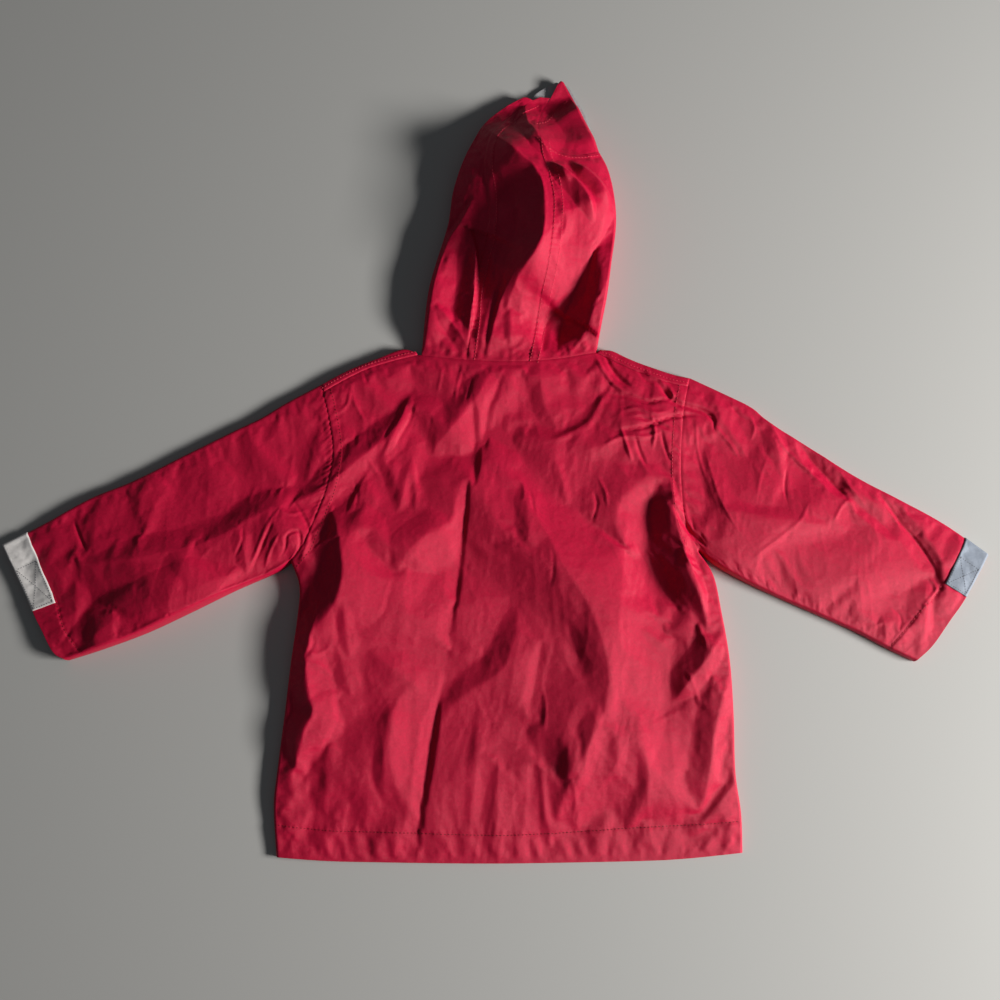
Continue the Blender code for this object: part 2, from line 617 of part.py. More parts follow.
def make_hood_side(name, lines, up, material, sign, top_seam=None):
    """A side panel of the hood: from its lip under the hood, round the folded edge and up to its seam."""
    edge, lip, seam = (smooth(line) for line in lines)
    seam = moved(seam, sign * SEAM_SHIFT)
    high = np.array([edge[-1], seam[-1]]) if top_seam is None else top_seam.copy()
    high[0], high[-1] = edge[-1], seam[-1]
    low = moved(between(smooth(NECK), edge[0], seam[0]), y=SEAM_SHIFT)
    edge[0], seam[0] = low[0], low[-1]
    above = [0.03, 0.1, 0.2] + even(8, 0.32, 1)
    upper = patch(low, high, edge, seam, above, up)
    low_under = moved(between(smooth(NECK_FRONT), edge[0], lip[0]), y=SEAM_SHIFT)
    low_under[0], lip[0] = edge[0], low_under[-1]
    under = [0.05, 0.25, 0.5, 0.75, 1]
    lower = patch(low_under, np.array([edge[-1], lip[-1]]), edge, lip, under, up)[:, ::-1]
    side_line = patch(low, high, edge, seam, [0.0], up)[:, 0]
    fold_out, fold_in = edge_points(side_line, upper[:, 0])
    top = upright(upper, hood_height(upper))
    level = np.zeros(lower.shape[:-1])
    outer = np.concatenate([upright(lower, level), fold_out[:, None], top], axis=1)
    inner = np.concatenate(
        [upright(lower, level + CLOTH), fold_in[:, None], inside(top, floor=CLOTH + LIE_GAP)], axis=1
    )
    return wall(name, outer, inner, material)


def make_hood(materials):
    red = materials["red_cloth"]
    up = even(24, 0, 1)
    make_hood_side("hood_side_left", (HOOD_EDGE_LEFT, LIP_LEFT, HOOD_SEAM_LEFT), up, red, -1)
    brim_seam = moved(smooth(BRIM_SEAM), y=-SEAM_SHIFT)[::-1]
    right_lines = (HOOD_EDGE_RIGHT, LIP_RIGHT, HOOD_SEAM_RIGHT)
    make_hood_side("hood_side_right", right_lines, even(20, 0, 1), red, 1, brim_seam)

    left = moved(smooth(HOOD_SEAM_LEFT), SEAM_SHIFT)
    brim_side = moved(smooth(BRIM_EDGE_LEFT), -SEAM_SHIFT)
    right = joined(moved(smooth(HOOD_SEAM_RIGHT), -SEAM_SHIFT), brim_side[brim_side[:, 1] < CENTRE_TOP_Y])
    low = moved(between(smooth(NECK), left[0], right[0]), y=SEAM_SHIFT)
    left[0], right[0] = low[0], low[-1]
    plan = patch(low, np.array([left[-1], right[-1]]), left, right, even(7, 0, 1), up)
    outer = upright(plan, hood_height(plan))
    wall("hood_centre", outer, inside(outer, floor=CLOTH + LIE_GAP), red)

    left, right = moved(smooth(BRIM_EDGE_LEFT), SEAM_SHIFT), smooth(BRIM_EDGE_RIGHT)
    low = moved(smooth(BRIM_SEAM), y=SEAM_SHIFT)
    low[0], low[-1] = left[0], right[0]
    high = np.array([left[-1], right[-1]])
    across = [0, 0.08, 0.2] + even(5, 0.35, 0.8) + [0.92, 1]
    plan = patch(low, high, left, right, across, even(9, 0, 1))
    outer = upright(plan, np.maximum(hood_height(plan), BRIM_LIFT))
    wall("hood_brim", outer, inside(outer, floor=2 * (CLOTH + LIE_GAP)), red)

    left, right = smooth(LINING_LEFT), smooth(LINING_RIGHT)
    low, high = np.array([left[0], right[0]]), np.array([left[-1], right[-1]])
    plan = patch(low, high, left, right, even(6, 0, 1), even(6, 0, 1))
    base = np.full(plan.shape[:-1], CLOTH + LIE_GAP)
    wall("hood_lining", upright(plan, base), upright(plan, base + CLOTH), materials["grey_lining"])


def main():
    clear_scene()
    materials = make_materials()
    make_back(materials["red_cloth"])
    make_fronts(materials["red_cloth"])
    make_snaps(materials["snap_red"])
    make_sleeve("left", ARMHOLE_LEFT, SLEEVE_TOP_LEFT, SLEEVE_LOW_LEFT, CUFF_LEFT, -1, materials)
    make_sleeve("right", ARMHOLE_RIGHT, SLEEVE_TOP_RIGHT, SLEEVE_LOW_RIGHT, CUFF_RIGHT, 1, materials)
    make_hood(materials)


main()
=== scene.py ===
"""Looks of the kids' rain jacket: fine cloth shells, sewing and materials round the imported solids.

Lengths in the tables are millimetres, and X, Y and Z are the frame's: X from the wearer's left cuff to
the right one, Y from the hem to the tip of the hood, Z up from the surface the jacket lies on.
"""

import json
import math
from collections import namedtuple

import bpy
import numpy as np
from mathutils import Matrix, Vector
from mathutils.bvhtree import BVHTree

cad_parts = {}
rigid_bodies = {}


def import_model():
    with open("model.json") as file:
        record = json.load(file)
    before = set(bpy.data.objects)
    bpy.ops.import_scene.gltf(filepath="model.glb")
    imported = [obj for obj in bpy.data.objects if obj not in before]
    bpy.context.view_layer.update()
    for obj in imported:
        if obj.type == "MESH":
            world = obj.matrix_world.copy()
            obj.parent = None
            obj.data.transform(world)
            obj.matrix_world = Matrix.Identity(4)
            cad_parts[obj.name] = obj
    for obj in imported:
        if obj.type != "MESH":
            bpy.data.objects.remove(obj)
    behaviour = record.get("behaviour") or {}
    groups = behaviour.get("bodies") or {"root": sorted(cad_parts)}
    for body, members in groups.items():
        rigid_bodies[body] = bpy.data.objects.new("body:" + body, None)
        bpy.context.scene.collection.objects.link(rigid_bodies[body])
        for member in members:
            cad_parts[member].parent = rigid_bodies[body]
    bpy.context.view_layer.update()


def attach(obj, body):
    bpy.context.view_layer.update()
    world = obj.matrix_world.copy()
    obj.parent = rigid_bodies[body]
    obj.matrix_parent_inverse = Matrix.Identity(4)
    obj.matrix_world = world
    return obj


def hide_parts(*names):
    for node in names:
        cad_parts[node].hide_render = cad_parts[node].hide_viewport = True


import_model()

MM = 0.001

# Cloth
CLOTH = 0.8  # shell thickness
LIE_GAP = 0.35  # between two layers that lie on each other
EDGE_HEIGHT = 1.6  # height of the fold line round a flattened tube
ROLL = 2.4  # width over which the cloth turns down to a folded edge
REACH = 17.0  # width of the gentler rise inwards from there
HOOD_ROLL = 2.4
HOOD_REACH = 16.0
TIGHT_SHARE = 0.79  # share of the height that the tight fold takes
HOOD_TIGHT_SHARE = 0.88
NECK_BLEND = 24.0  # width over which the hood's height meets the back's
EDGE_INSET = 2.6  # from a folded edge to the flat lower layer
LOWER_CLOTH = 1.2  # lower layer with its seam allowances, under the back
CENTRE_X = 5.0
OVERLAP = 30.0  # of the two fronts
LAP_START = CENTRE_X - OVERLAP / 2
LAP_END = CENTRE_X + OVERLAP / 2
PLACKET_LIFT = 1.15
PLACKET_RAMP = 14.0
PLACKET_BEFORE = 18.0
PLACKET_AFTER = 40.0
PLACKET_FADE = 20.0
TURN_UP = 0.9  # the fronts' outer sides turn up by this
TURN_WIDTH = 2.0
FRONT_NECK_INSET = 1.0
SNAPS = 5
TAB_WIDTH = 25.0
TAB_FROM = {"left": 0.45, "right": 0.61}  # where the tab starts on the upper layer, as a share of the cuff
TAB_TO = 0.74  # and ends here on the lower one
TAB_ROOM = 1.35  # the lower layer lifts by this over the tab
TAB_PROUD = 0.8  # outer side of the tab above the cloth
TAB_FLOOR = 0.1
TAPE = 0.5
BOX_INSET = 2  # from the tab's edges to its sewn box
BOX_INSET_ACROSS = 0.016
BOX_WIDTH = 0.6  # share of the cuff from the tab's start to the upper fold
HEM_Y = -377.8
BODY_LEFT_X = -202.0
BODY_RIGHT_X = 226.0

# Points of the shells: a panel's size, across and up, sets how many it has
GRID = 1.25  # spacing on a shell's outer side
BACK_GRID = 1.56
EDGE_ROWS = (0.35, 0.9, 1.8, 3.0)  # closer rows, at these distances from a panel's ends
SEAM_ROW = 0.15  # last row before a hood seam
INNER_STEP = 3  # the inner side has every third point
BACK_SIZE = (410, 470)
CENTRE_SIZE = (62, 290)
BRIM_SIZE = (58, 86)
LINING_SIZE = (50, 36)
SLEEVE_WIDTH = 150.0
SLEEVE_EDGE_ROWS = (0.25, 0.7, 1.4, 2.6, 4.2)
SLEEVE_MIDDLE = 6.4  # where the evenly spaced points start
UNDER_MIDDLE = 9  # the same on the lower layer
UNDER_ROWS = 30
TAB_ROWS = 15
TAB_TOP_COLUMN = 4  # a column on the upper layer
BOX_POINTS = 12
HOOD_EXTRA = 8  # a hood side is this much wider than its stretch of the neck seam
HOOD_LAST_ROW = 4.6
HOOD_MIDDLE = 6.5
SHOULDER_COLUMNS = 44
NECK_COLUMNS = 24
SHOULDER_SHARE = 0.66  # of a front's width
FRONT_ROWS = 110
TURN_ROWS = 9  # from the shoulder fold to the seam with the back

# Seam and edge lines, each from its lower or inner end, as (x, y)
HEM = [
    (-194, -373), (-150, -376), (-110, -377), (-30, -378), (50, -377.5), (130, -376), (170, -374),
    (221, -369),
]
SIDE_LEFT = [
    (-194, -373), (-198, -330), (-196, -300), (-191, -250), (-187, -205), (-182, -160), (-181, -132),
    (-189, -110),
]
SIDE_RIGHT = [
    (221, -369), (221, -335), (217, -300), (217, -250), (215, -200), (209, -155), (203, -122), (190, -100),
]
ARMHOLE_LEFT = [
    (-189, -110), (-178, -97), (-171, -80), (-164, -60), (-157, -40), (-153, -18), (-153, 2), (-156, 20),
    (-160, 38), (-164, 53),
]
ARMHOLE_RIGHT = [(190, -100), (182, -86), (177, -68), (175, -41), (175, -12), (177, 17), (180, 40), (184, 58)]
TIP_LEFT = (-166, 62)
TIP_RIGHT = (187, 68)
SHOULDER_SEAM_LEFT = [(-164, 53), (-142, 66), (-122, 76), (-100, 83), (-74, 90)]
SHOULDER_SEAM_RIGHT = [(184, 58), (165, 62), (146, 69), (126, 77), (97, 92)]
SHOULDER_EDGE_LEFT = [TIP_LEFT, (-147, 73), (-130, 81), (-110, 89), (-90, 97), (-76, 94)]
SHOULDER_EDGE_RIGHT = [TIP_RIGHT, (170, 72), (150, 79), (130, 87), (114, 95), (103, 96)]
NECK = [(-74, 90), (-50, 86.5), (-27, 84), (2, 82.3), (32, 82.3), (62, 85.4), (97, 92)]
NECK_FRONT = [(-70.5, 89), (-33, 71), (5, 50), (52, 72.5), (98, 92)]
PLACKET_TOP_Y = NECK_FRONT[2][1]
SLEEVE_TOP_LEFT = [
    TIP_LEFT, (-200, 43), (-222, 29), (-250, 15), (-300, -11), (-340, -32), (-380, -49),
    (-420, -72), (-459, -93),
]
SLEEVE_TOP_RIGHT = [
    TIP_RIGHT, (220, 52), (245, 39), (262, 24), (300, -1), (340, -28), (380, -50),
    (420, -73), (459, -102),
]
SLEEVE_LOW_LEFT = [
    (-189, -110), (-202, -119), (-240, -136), (-280, -156), (-320, -175), (-360, -190), (-391, -200),
]
SLEEVE_LOW_RIGHT = [(190, -100), (206, -113), (240, -132), (290, -155), (330, -173), (364, -191), (385, -201)]
CUFF_LEFT = [(-391, -200), (-403, -193), (-416, -172), (-427, -153), (-459, -93)]
CUFF_RIGHT = [(385, -201), (401, -186), (418, -163), (433, -143), (459, -102)]
HOOD_EDGE_LEFT = [
    (-70.5, 90), (-68, 125), (-64, 158), (-54, 195), (-46, 225), (-42, 255), (-35, 280), (-26, 302),
    (-10, 330), (10, 349), (28, 360),
]
HOOD_EDGE_RIGHT = [
    (98, 93), (103, 120), (108, 145), (113, 180), (118, 215), (117, 243), (112, 272), (104, 292),
]
HOOD_SEAM_LEFT = [
    (-27, 84), (-22, 120), (-20, 150), (-14, 178), (-7, 205), (-6, 240), (-10, 270), (-6, 300),
    (10, 329), (38, 356),
]
HOOD_SEAM_RIGHT = [
    (32, 81.5), (38, 110), (43, 140), (50, 170), (54, 200), (55, 230), (51, 255), (45, 278), (43, 300),
]
BRIM_EDGE_LEFT = [(43, 300), (42, 318), (47, 343), (57, 361), (66, 378)]
BRIM_EDGE_RIGHT = [(104, 292), (98, 312), (88, 338), (79, 357), (69, 377)]
HOOD_TIP = [(28, 360), (45, 362), (66, 378)]
BRIM_SEAM = [(43, 300), (53, 289), (76, 283), (104, 292)]
BRIM_LIFT = 5.7
LIP_LEFT = [(-9, 57.7), (-8, 100), (-4, 160), (6, 220), (18, 280), (30, 325), (44, 348)]
LIP_RIGHT = [(20, 55.5), (33, 100), (45, 160), (57, 220), (66, 262), (72, 285)]
CENTRE_TOP_Y = 355.0
CENTRE_TOP = (45.0, 359.5)
CENTRE_CORNER = (55.0, 359.0)
LINING_LEFT = [(31, 350), (42, 366), (62, 378)]
LINING_RIGHT = [(95, 328), (90, 343), (83, 357), (74, 373)]
LINING_HEIGHT = 3.4
FRONT_LINES = {
    "left": (SIDE_LEFT, ARMHOLE_LEFT, SHOULDER_EDGE_LEFT, SHOULDER_SEAM_LEFT),
    "right": (SIDE_RIGHT, ARMHOLE_RIGHT, SHOULDER_EDGE_RIGHT, SHOULDER_SEAM_RIGHT),
}
SLEEVE_LINES = {
    "left": (ARMHOLE_LEFT, SLEEVE_TOP_LEFT, SLEEVE_LOW_LEFT, CUFF_LEFT),
    "right": (ARMHOLE_RIGHT, SLEEVE_TOP_RIGHT, SLEEVE_LOW_RIGHT, CUFF_RIGHT),
}

# Soft hills that lift the plateau: middle, radii and height
Hill = namedtuple("Hill", "x y across along height")
PLATEAU = 9.0
HILLS = [
    Hill(-95, -150, 70, 110, 4),
    Hill(-150, -215, 30, 60, 2),
    Hill(-438, -132, 30, 60, -3.6),
    Hill(430, -150, 24, 44, 2.4),
    Hill(-165, -105, 26, 40, 4),
    Hill(205, -190, 40, 88, 6),
    Hill(150, 25, 55, 45, 4),
    Hill(15, 78, 70, 28, 5),
    Hill(70, -140, 70, 110, 2),
    Hill(-280, -118, 80, 40, 4),
    Hill(-195, -88, 24, 22, 5),
    Hill(250, -70, 75, 50, 5),
    Hill(350, -125, 70, 45, 3),
]
# Where more of the height is taken by the tight fold of the edge
FULL_EDGES = [Hill(-300, -165, 95, 50, 0.2), Hill(216, -240, 40, 120, 0.18)]
HEM_PLATEAU = 4.4
HEM_START = -376.0
HEM_RISE = 85.0
HEM_MIDDLE = Hill(12, -376, 42, 400, 2.0)
HOOD_PLATEAU = 13.0
HOOD_HILLS = [
    Hill(18, 215, 52, 62, 10),
    Hill(98, 165, 22, 60, 6),
    Hill(98, 222, 36, 58, 11),
    Hill(72, 332, 46, 36, -13),
]

# Folds. The route runs up or to the right. Left and right are the widths of its two slopes. Height is over
# the cloth round it, below 0 for a valley. Crisp is 0 for a soft crest, 1 for a sharp one.
Fold = namedtuple("Fold", "left right height crisp route")
BODY_FOLDS = [
    # from the left sleeve over its armhole
    Fold(22, 84, 5.8, 0.45, [
        (-398, -116), (-340, -110), (-310, -104), (-285, -98), (-250, -85), (-225, -70), (-200, -58),
        (-168, -48), (-140, -36),
    ]),
    # left shoulder and neck
    Fold(20, 20, 3.6, 0.7, [(-190, -54), (-160, -40), (-135, -20), (-110, 1), (-92, 20), (-78, 44)]),
    Fold(6, 9, 1.6, 0.85, [(-106, -12), (-96, 8), (-88, 28), (-79, 52)]),
    Fold(20, 32, 4.6, 0.7, [(-62, -10), (-46, 12), (-29, 32), (-14, 52), (0, 78)]),
    Fold(14, 6, -2.0, 0.85, [(-19, -44), (-18, -20), (-18, 0), (-20, 25), (-22, 56)]),
    Fold(7, 5, -1.3, 0.85, [(-9, -8), (-8, 15), (-6, 35), (0, 50), (8, 70)]),
    # the long valleys left of the middle, and a ridge beside them
    Fold(12, 4, -1.7, 0.9, [(-40, -176), (-34, -130), (-29, -80), (-26, -54), (-24, -22)]),
    Fold(46, 62, -5.2, 0.75, [(-64, -320), (-51, -240), (-44, -200), (-38, -150), (-32, -100), (-27, -40)]),
    Fold(12, 6, -2.4, 0.9, [(-74, -396), (-68, -348), (-62, -308), (-56, -268), (-47, -216)]),
    Fold(10, 22, 1.6, 0.7, [(-98, -330), (-99, -290), (-96, -258), (-86, -234)]),
    # beside the left armhole
    Fold(12, 14, 1.5, 0.7, [(-130, -96), (-123, -62), (-116, -30)]),
    Fold(4, 9, 1.2, 0.85, [(-138, -68), (-129, -48), (-119, -26)]),
    Fold(14, 11, -1.4, 0.8, [(-93, -68), (-101, -42), (-113, -12)]),
    Fold(14, 16, -2.2, 0.7, [(-132, -76), (-108, -106), (-88, -126)]),
    Fold(8, 10, 1.3, 0.7, [(-90, -64), (-84, -40), (-80, -14)]),
    Fold(6, 5, 0.9, 0.8, [(-74, -66), (-74, -40), (-78, -8)]),
    Fold(22, 34, 3.4, 0.8, [(-90, -120), (-78, -100), (-60, -84), (-34, -70)]),
    # left side
    Fold(26, 44, 6.8, 0.88, [
        (-166, -174), (-152, -160), (-142, -142), (-138, -120), (-140, -98), (-147, -74), (-160, -46),
    ]),
    Fold(22, 100, 4.6, 0.6, [(-152, -204), (-141, -140), (-138, -118), (-141, -98), (-148, -60)]),
    Fold(19, 24, 7.0, 0.85, [
        (-184, -318), (-176, -285), (-170, -262), (-164, -246), (-168, -222), (-170, -196), (-165, -172),
        (-162, -150), (-168, -122),
    ]),
    Fold(12, 14, 1.8, 0.7, [(-128, -236), (-137, -206), (-148, -172)]),
    Fold(8, 9, 1.6, 0.8, [(-130, -202), (-134, -176), (-137, -146)]),
    Fold(16, 20, 1.8, 0.8, [(-60, -234), (-84, -214), (-118, -190)]),
    # lower left and middle
    Fold(18, 18, 2.5, 0.8, [(-66, -346), (-82, -322), (-92, -298), (-94, -272), (-90, -246), (-80, -222)]),
    Fold(16, 18, 1.0, 0.6, [(-116, -360), (-112, -300), (-108, -240)]),
    Fold(16, 14, 1.5, 0.6, [(-152, -345), (-150, -300), (-146, -232)]),
    Fold(20, 36, 2.6, 0.8, [(-50, -252), (-25, -230), (2, -213), (14, -195), (20, -170), (20, -142)]),
    Fold(8, 12, 1.0, 0.7, [(-22, -350), (-17, -285), (-12, -232)]),
    Fold(8, 10, 0.9, 0.7, [(1, -360), (4, -285)]),
    Fold(10, 12, 1.1, 0.7, [(24, -366), (28, -320), (27, -262)]),
    # upper right
    Fold(14, 26, 1.9, 0.7, [(62, 12), (50, 36), (44, 60), (43, 88)]),
    Fold(12, 10, 1.3, 0.7, [(8, 4), (14, 26), (12, 48), (16, 76)]),
    Fold(12, 16, 1.5, 0.7, [(24, -8), (28, 14), (24, 38)]),
    Fold(5, 6, 1.0, 0.85, [(42, 2), (62, 8), (80, 17), (92, 26), (99, 40), (110, 56), (120, 70)]),
    Fold(7, 9, 1.0, 0.8, [(68, -10), (80, 8), (95, 28)]),
    Fold(18, 12, 1.6, 0.7, [(76, -8), (100, 0), (122, 10)]),
    Fold(12, 10, 1.6, 0.7, [(98, 48), (102, 66), (98, 86)]),
    # right underarm
    Fold(30, 20, -5.6, 0.7, [
        (178, -168), (166, -150), (153, -130), (145, -106), (143, -80), (145, -60), (149, -42), (154, -22),
    ]),
    Fold(22, 9, 6.4, 0.85, [
        (196, -172), (190, -148), (182, -121), (173, -92), (168, -70), (166, -46), (165, -22),
    ]),
    Fold(10, 8, 2.2, 0.85, [(192, -162), (186, -140), (177, -118), (174, -96)]),
    Fold(6, 7, 0.7, 0.8, [(56, -8), (63, -30), (70, -58)]),
    # the long ridge, and the lower right
    Fold(56, 58, 7.4, 0.85, [
        (45, -376), (60, -325), (76, -290), (96, -250), (102, -218), (99, -190), (86, -153), (66, -120),
        (52, -92), (38, -66), (26, -30),
    ]),
    Fold(24, 60, 1.6, 0.6, [(104, -222), (90, -184), (73, -154), (61, -126), (55, -104), (50, -74)]),
    Fold(14, 10, 1.9, 0.8, [(66, -330), (78, -296), (88, -262), (94, -236)]),
    Fold(12, 9, 1.2, 0.8, [(52, -350), (62, -318), (70, -290), (74, -262)]),
    Fold(34, 24, 2.6, 0.7, [(100, -262), (106, -205), (114, -150), (120, -100), (123, -50), (121, 8)]),
    Fold(9, 10, -1.1, 0.8, [(62, -160), (72, -187), (80, -220)]),
    Fold(12, 20, 2.2, 0.8, [(32, -102), (31, -68), (27, -34)]),
    Fold(9, 7, -1.0, 0.8, [(31, -256), (36, -220), (44, -178)]),
    Fold(10, 12, 1.3, 0.7, [(62, -310), (66, -288), (66, -256)]),
    Fold(6, 6, 0.8, 0.7, [(38, -272), (42, -310), (48, -345), (52, -368)]),
    Fold(10, 12, 1.3, 0.8, [(94, -312), (106, -296), (111, -279), (107, -265), (94, -256)]),
    Fold(36, 46, 4.0, 0.75, [(132, -362), (136, -322), (136, -290), (130, -262), (118, -240)]),
    Fold(10, 12, 1.4, 0.8, [(117, -352), (130, -330), (136, -305), (134, -285), (124, -262)]),
    Fold(18, 13, 4.4, 0.85, [(160, -240), (178, -216), (193, -197), (209, -172)]),
    Fold(19, 12, 4.0, 0.8, [(183, -342), (191, -300), (197, -265), (205, -235), (214, -204)]),
    Fold(8, 10, 1.6, 0.8, [(180, -350), (195, -332), (206, -320), (219, -303)]),
    Fold(8, 7, 1.2, 0.7, [(203, -372), (211, -355), (213, -338)]),
    Fold(10, 9, 1.2, 0.7, [(92, -378), (91, -360), (83, -342)]),
    # left sleeve
    Fold(48, 10, 10.6, 0.9, [
        (-404, -206), (-360, -192), (-320, -177), (-280, -158), (-240, -138), (-212, -124),
    ]),
    Fold(18, 34, 3.0, 0.6, [(-300, -168), (-292, -136), (-285, -112), (-278, -92)]),
    Fold(50, 30, 3.6, 0.5, [(-318, -170), (-313, -140), (-306, -110)]),
    Fold(10, 10, 1.6, 0.8, [(-226, -122), (-231, -100), (-238, -76)]),
    Fold(18, 22, 1.2, 0.5, [(-264, -52), (-254, -14)]),
    Fold(20, 22, 1.2, 0.5, [(-334, -60), (-316, -24)]),
    Fold(16, 14, 1.6, 0.6, [(-392, -194), (-384, -160), (-388, -124)]),
    Fold(14, 16, 2.0, 0.6, [(-372, -186), (-352, -168), (-338, -164)]),
    # right sleeve
    Fold(12, 14, 0.7, 0.7, [(234, -98), (218, -62), (207, -35), (202, -5), (194, 24)]),
    Fold(9, 12, 1.3, 0.7, [(240, -12), (225, 10), (213, 30), (207, 56)]),
    Fold(12, 11, 2.4, 0.8, [(270, -22), (266, 0), (262, 20), (254, 40)]),
    Fold(9, 12, -4.8, 0.9, [(338, -56), (322, -41), (310, -26), (298, -11), (282, 13)]),
    Fold(9, 12, -1.6, 0.8, [(380, -92), (360, -74), (345, -61), (328, -46)]),
    Fold(14, 9, -1.8, 0.8, [(412, -138), (404, -112), (392, -90), (376, -66), (356, -40)]),
    Fold(10, 14, 1.2, 0.7, [(200, -58), (240, -66), (280, -73), (314, -78)]),
    Fold(16, 9, 2.0, 0.8, [(392, -184), (394, -152), (398, -124)]),
    Fold(7, 8, 1.0, 0.8, [(359, -186), (356, -158)]),
    Fold(12, 8, 1.4, 0.7, [(418, -118), (430, -98), (432, -80)]),
]

# Short, sharp creases of the crumpled places: half width, height and route
Crease = namedtuple("Crease", "width height route")
CREASES = [
    # right shoulder
    Crease(3.8, -2.8, [
        (148, 65), (158, 57), (166, 47), (173, 41), (186, 37), (199, 33), (207, 25), (207, 10),
    ]),
    Crease(3.0, 1.8, [(146, 82), (147, 70), (158, 64), (164, 53)]),
    Crease(2.6, 1.4, [(158, 68), (165, 58), (169, 48), (163, 40)]),
    Crease(3.4, -2.0, [(104, 96), (110, 79), (119, 66), (134, 54)]),
    Crease(3.2, 1.5, [(96, 92), (102, 76), (112, 62), (128, 49)]),
    Crease(3.0, -1.9, [(108, 50), (126, 48), (144, 42), (160, 44), (174, 40)]),
    Crease(2.6, 1.4, [(116, 32), (134, 36), (152, 31), (170, 35)]),
    Crease(3.0, -2.0, [(104, 14), (126, 15), (146, 19), (166, 27), (188, 30), (204, 26)]),
    Crease(2.6, 1.4, [(98, -2), (120, 8), (142, 8), (160, 14)]),
    Crease(2.6, -1.6, [(124, 26), (140, 26), (156, 20), (172, 12)]),
    Crease(2.4, 1.3, [(118, 20), (124, 2), (130, -18)]),
    Crease(2.4, -1.3, [(132, 12), (136, -4), (144, -22)]),
    Crease(2.2, 1.1, [(146, 34), (151, 14), (148, -6)]),
    Crease(2.2, -1.2, [(156, 18), (160, 0), (166, -18)]),
    Crease(2.4, -1.1, [(136, 78), (142, 66), (152, 58)]),
    Crease(2.2, 0.8, [(96, -28), (104, -44), (106, -62)]),
    Crease(2.2, -0.8, [(92, -40), (96, -56), (90, -76)]),
    # right sleeve
    Crease(2.8, 0.8, [(204, 25), (214, 12), (223, 1), (232, -14)]),
    Crease(2.2, 0.4, [(197, 8), (203, -24), (210, -50), (220, -72), (233, -93)]),
    Crease(2.2, 0.5, [(189, 26), (192, -6), (200, -38)]),
    Crease(2.2, 0.4, [(259, -6), (249, -30), (243, -58)]),
    Crease(2.6, 0.8, [(260, 26), (271, 2), (284, -12), (303, -31)]),
    Crease(2.2, -0.7, [(276, -16), (272, -38), (273, -57)]),
    Crease(2.6, 0.5, [(230, -114), (250, -98), (268, -85), (284, -71), (291, -58), (303, -46)]),
    Crease(2.2, 0.7, [(313, -76), (322, -60), (333, -48)]),
    Crease(2.6, -1.0, [(352, -37), (367, -54), (380, -75), (392, -91), (402, -108), (410, -126)]),
    Crease(2.2, 0.5, [(342, -34), (357, -50), (372, -68), (380, -84)]),
    Crease(2.2, 0.5, [(324, -30), (336, -44), (348, -60)]),
    Crease(2.2, -0.5, [(222, 44), (232, 30), (246, 22)]),
    Crease(2.2, 0.5, [(240, 34), (246, 18), (240, 2)]),
    Crease(2.4, 0.7, [(398, -122), (406, -134), (398, -146), (384, -164)]),
    Crease(2.2, -0.5, [(362, -150), (372, -160), (370, -176)]),
    # left underarm
    Crease(2.6, -1.2, [(-199, -109), (-193, -98), (-191, -86), (-181, -83), (-180, -98), (-190, -107)]),
    Crease(3.2, 1.0, [(-228, -122), (-217, -96), (-206, -72), (-197, -56)]),
    Crease(3.0, -1.1, [(-221, -112), (-211, -86), (-202, -64)]),
    Crease(2.6, 0.9, [(-213, -119), (-206, -99), (-197, -82)]),
    Crease(2.6, -0.9, [(-188, -52), (-177, -69), (-168, -90)]),
    Crease(2.6, 0.8, [(-203, -60), (-189, -66), (-174, -61)]),
    Crease(2.4, 0.7, [(-181, -114), (-174, -98), (-170, -78)]),
    Crease(2.6, -0.8, [(-240, -108), (-233, -92), (-233, -76)]),
    # left cuff
    Crease(2.4, -1.0, [(-394, -69), (-386, -86), (-377, -102)]),
    # upper left
    Crease(2.4, 0.7, [(-150, 30), (-140, 42), (-138, 56)]),
    Crease(2.4, 0.7, [(-136, 50), (-130, 36), (-122, 22)]),
    Crease(2.4, -0.6, [(-128, 78), (-124, 68), (-120, 58)]),
    Crease(2.4, -0.8, [(-108, 0), (-96, 22), (-84, 38)]),
    Crease(2.4, -0.7, [(-98, -10), (-88, 10), (-80, 26), (-76, 48)]),
    Crease(2.2, 0.6, [(-120, -10), (-114, -22), (-104, -34)]),
    Crease(2.2, -0.6, [(-134, -30), (-128, -46), (-130, -64)]),
    Crease(2.2, 0.7, [(-38, 40), (-36, 58), (-30, 80)]),
    Crease(2.2, -0.7, [(-28, 40), (-24, 54), (-21, 68)]),
    Crease(2.2, 0.5, [(-56, 50), (-52, 64), (-50, 80)]),
    # left side
    Crease(3.0, -0.9, [(-172, -198), (-164, -187), (-166, -174)]),
    Crease(2.6, 0.7, [(-174, -190), (-161, -195), (-148, -189)]),
    Crease(2.6, 0.7, [(-168, -203), (-156, -206), (-146, -216)]),
    # right side
    Crease(2.8, -0.4, [(150, -166), (157, -176), (168, -181)]),
    Crease(2.8, 0.9, [(184, -166), (190, -178), (193, -192)]),
    Crease(3.8, -2.8, [(164, -52), (173, -70), (183, -84), (199, -98)]),
    Crease(2.6, 1.2, [(172, -96), (180, -112), (194, -124)]),
    Crease(2.4, 0.7, [(170, -205), (180, -222), (186, -246)]),
    # middle and lower right
    Crease(2.2, 0.5, [(22, -30), (28, -42), (26, -58)]),
    Crease(2.2, -0.6, [(32, -38), (35, -52), (38, -70)]),
    Crease(2.2, -0.5, [(52, -92), (54, -116), (50, -140)]),
    Crease(2.2, 0.5, [(40, -215), (46, -240), (44, -272)]),
    Crease(2.2, 0.5, [(66, -300), (72, -318), (70, -342)]),
]

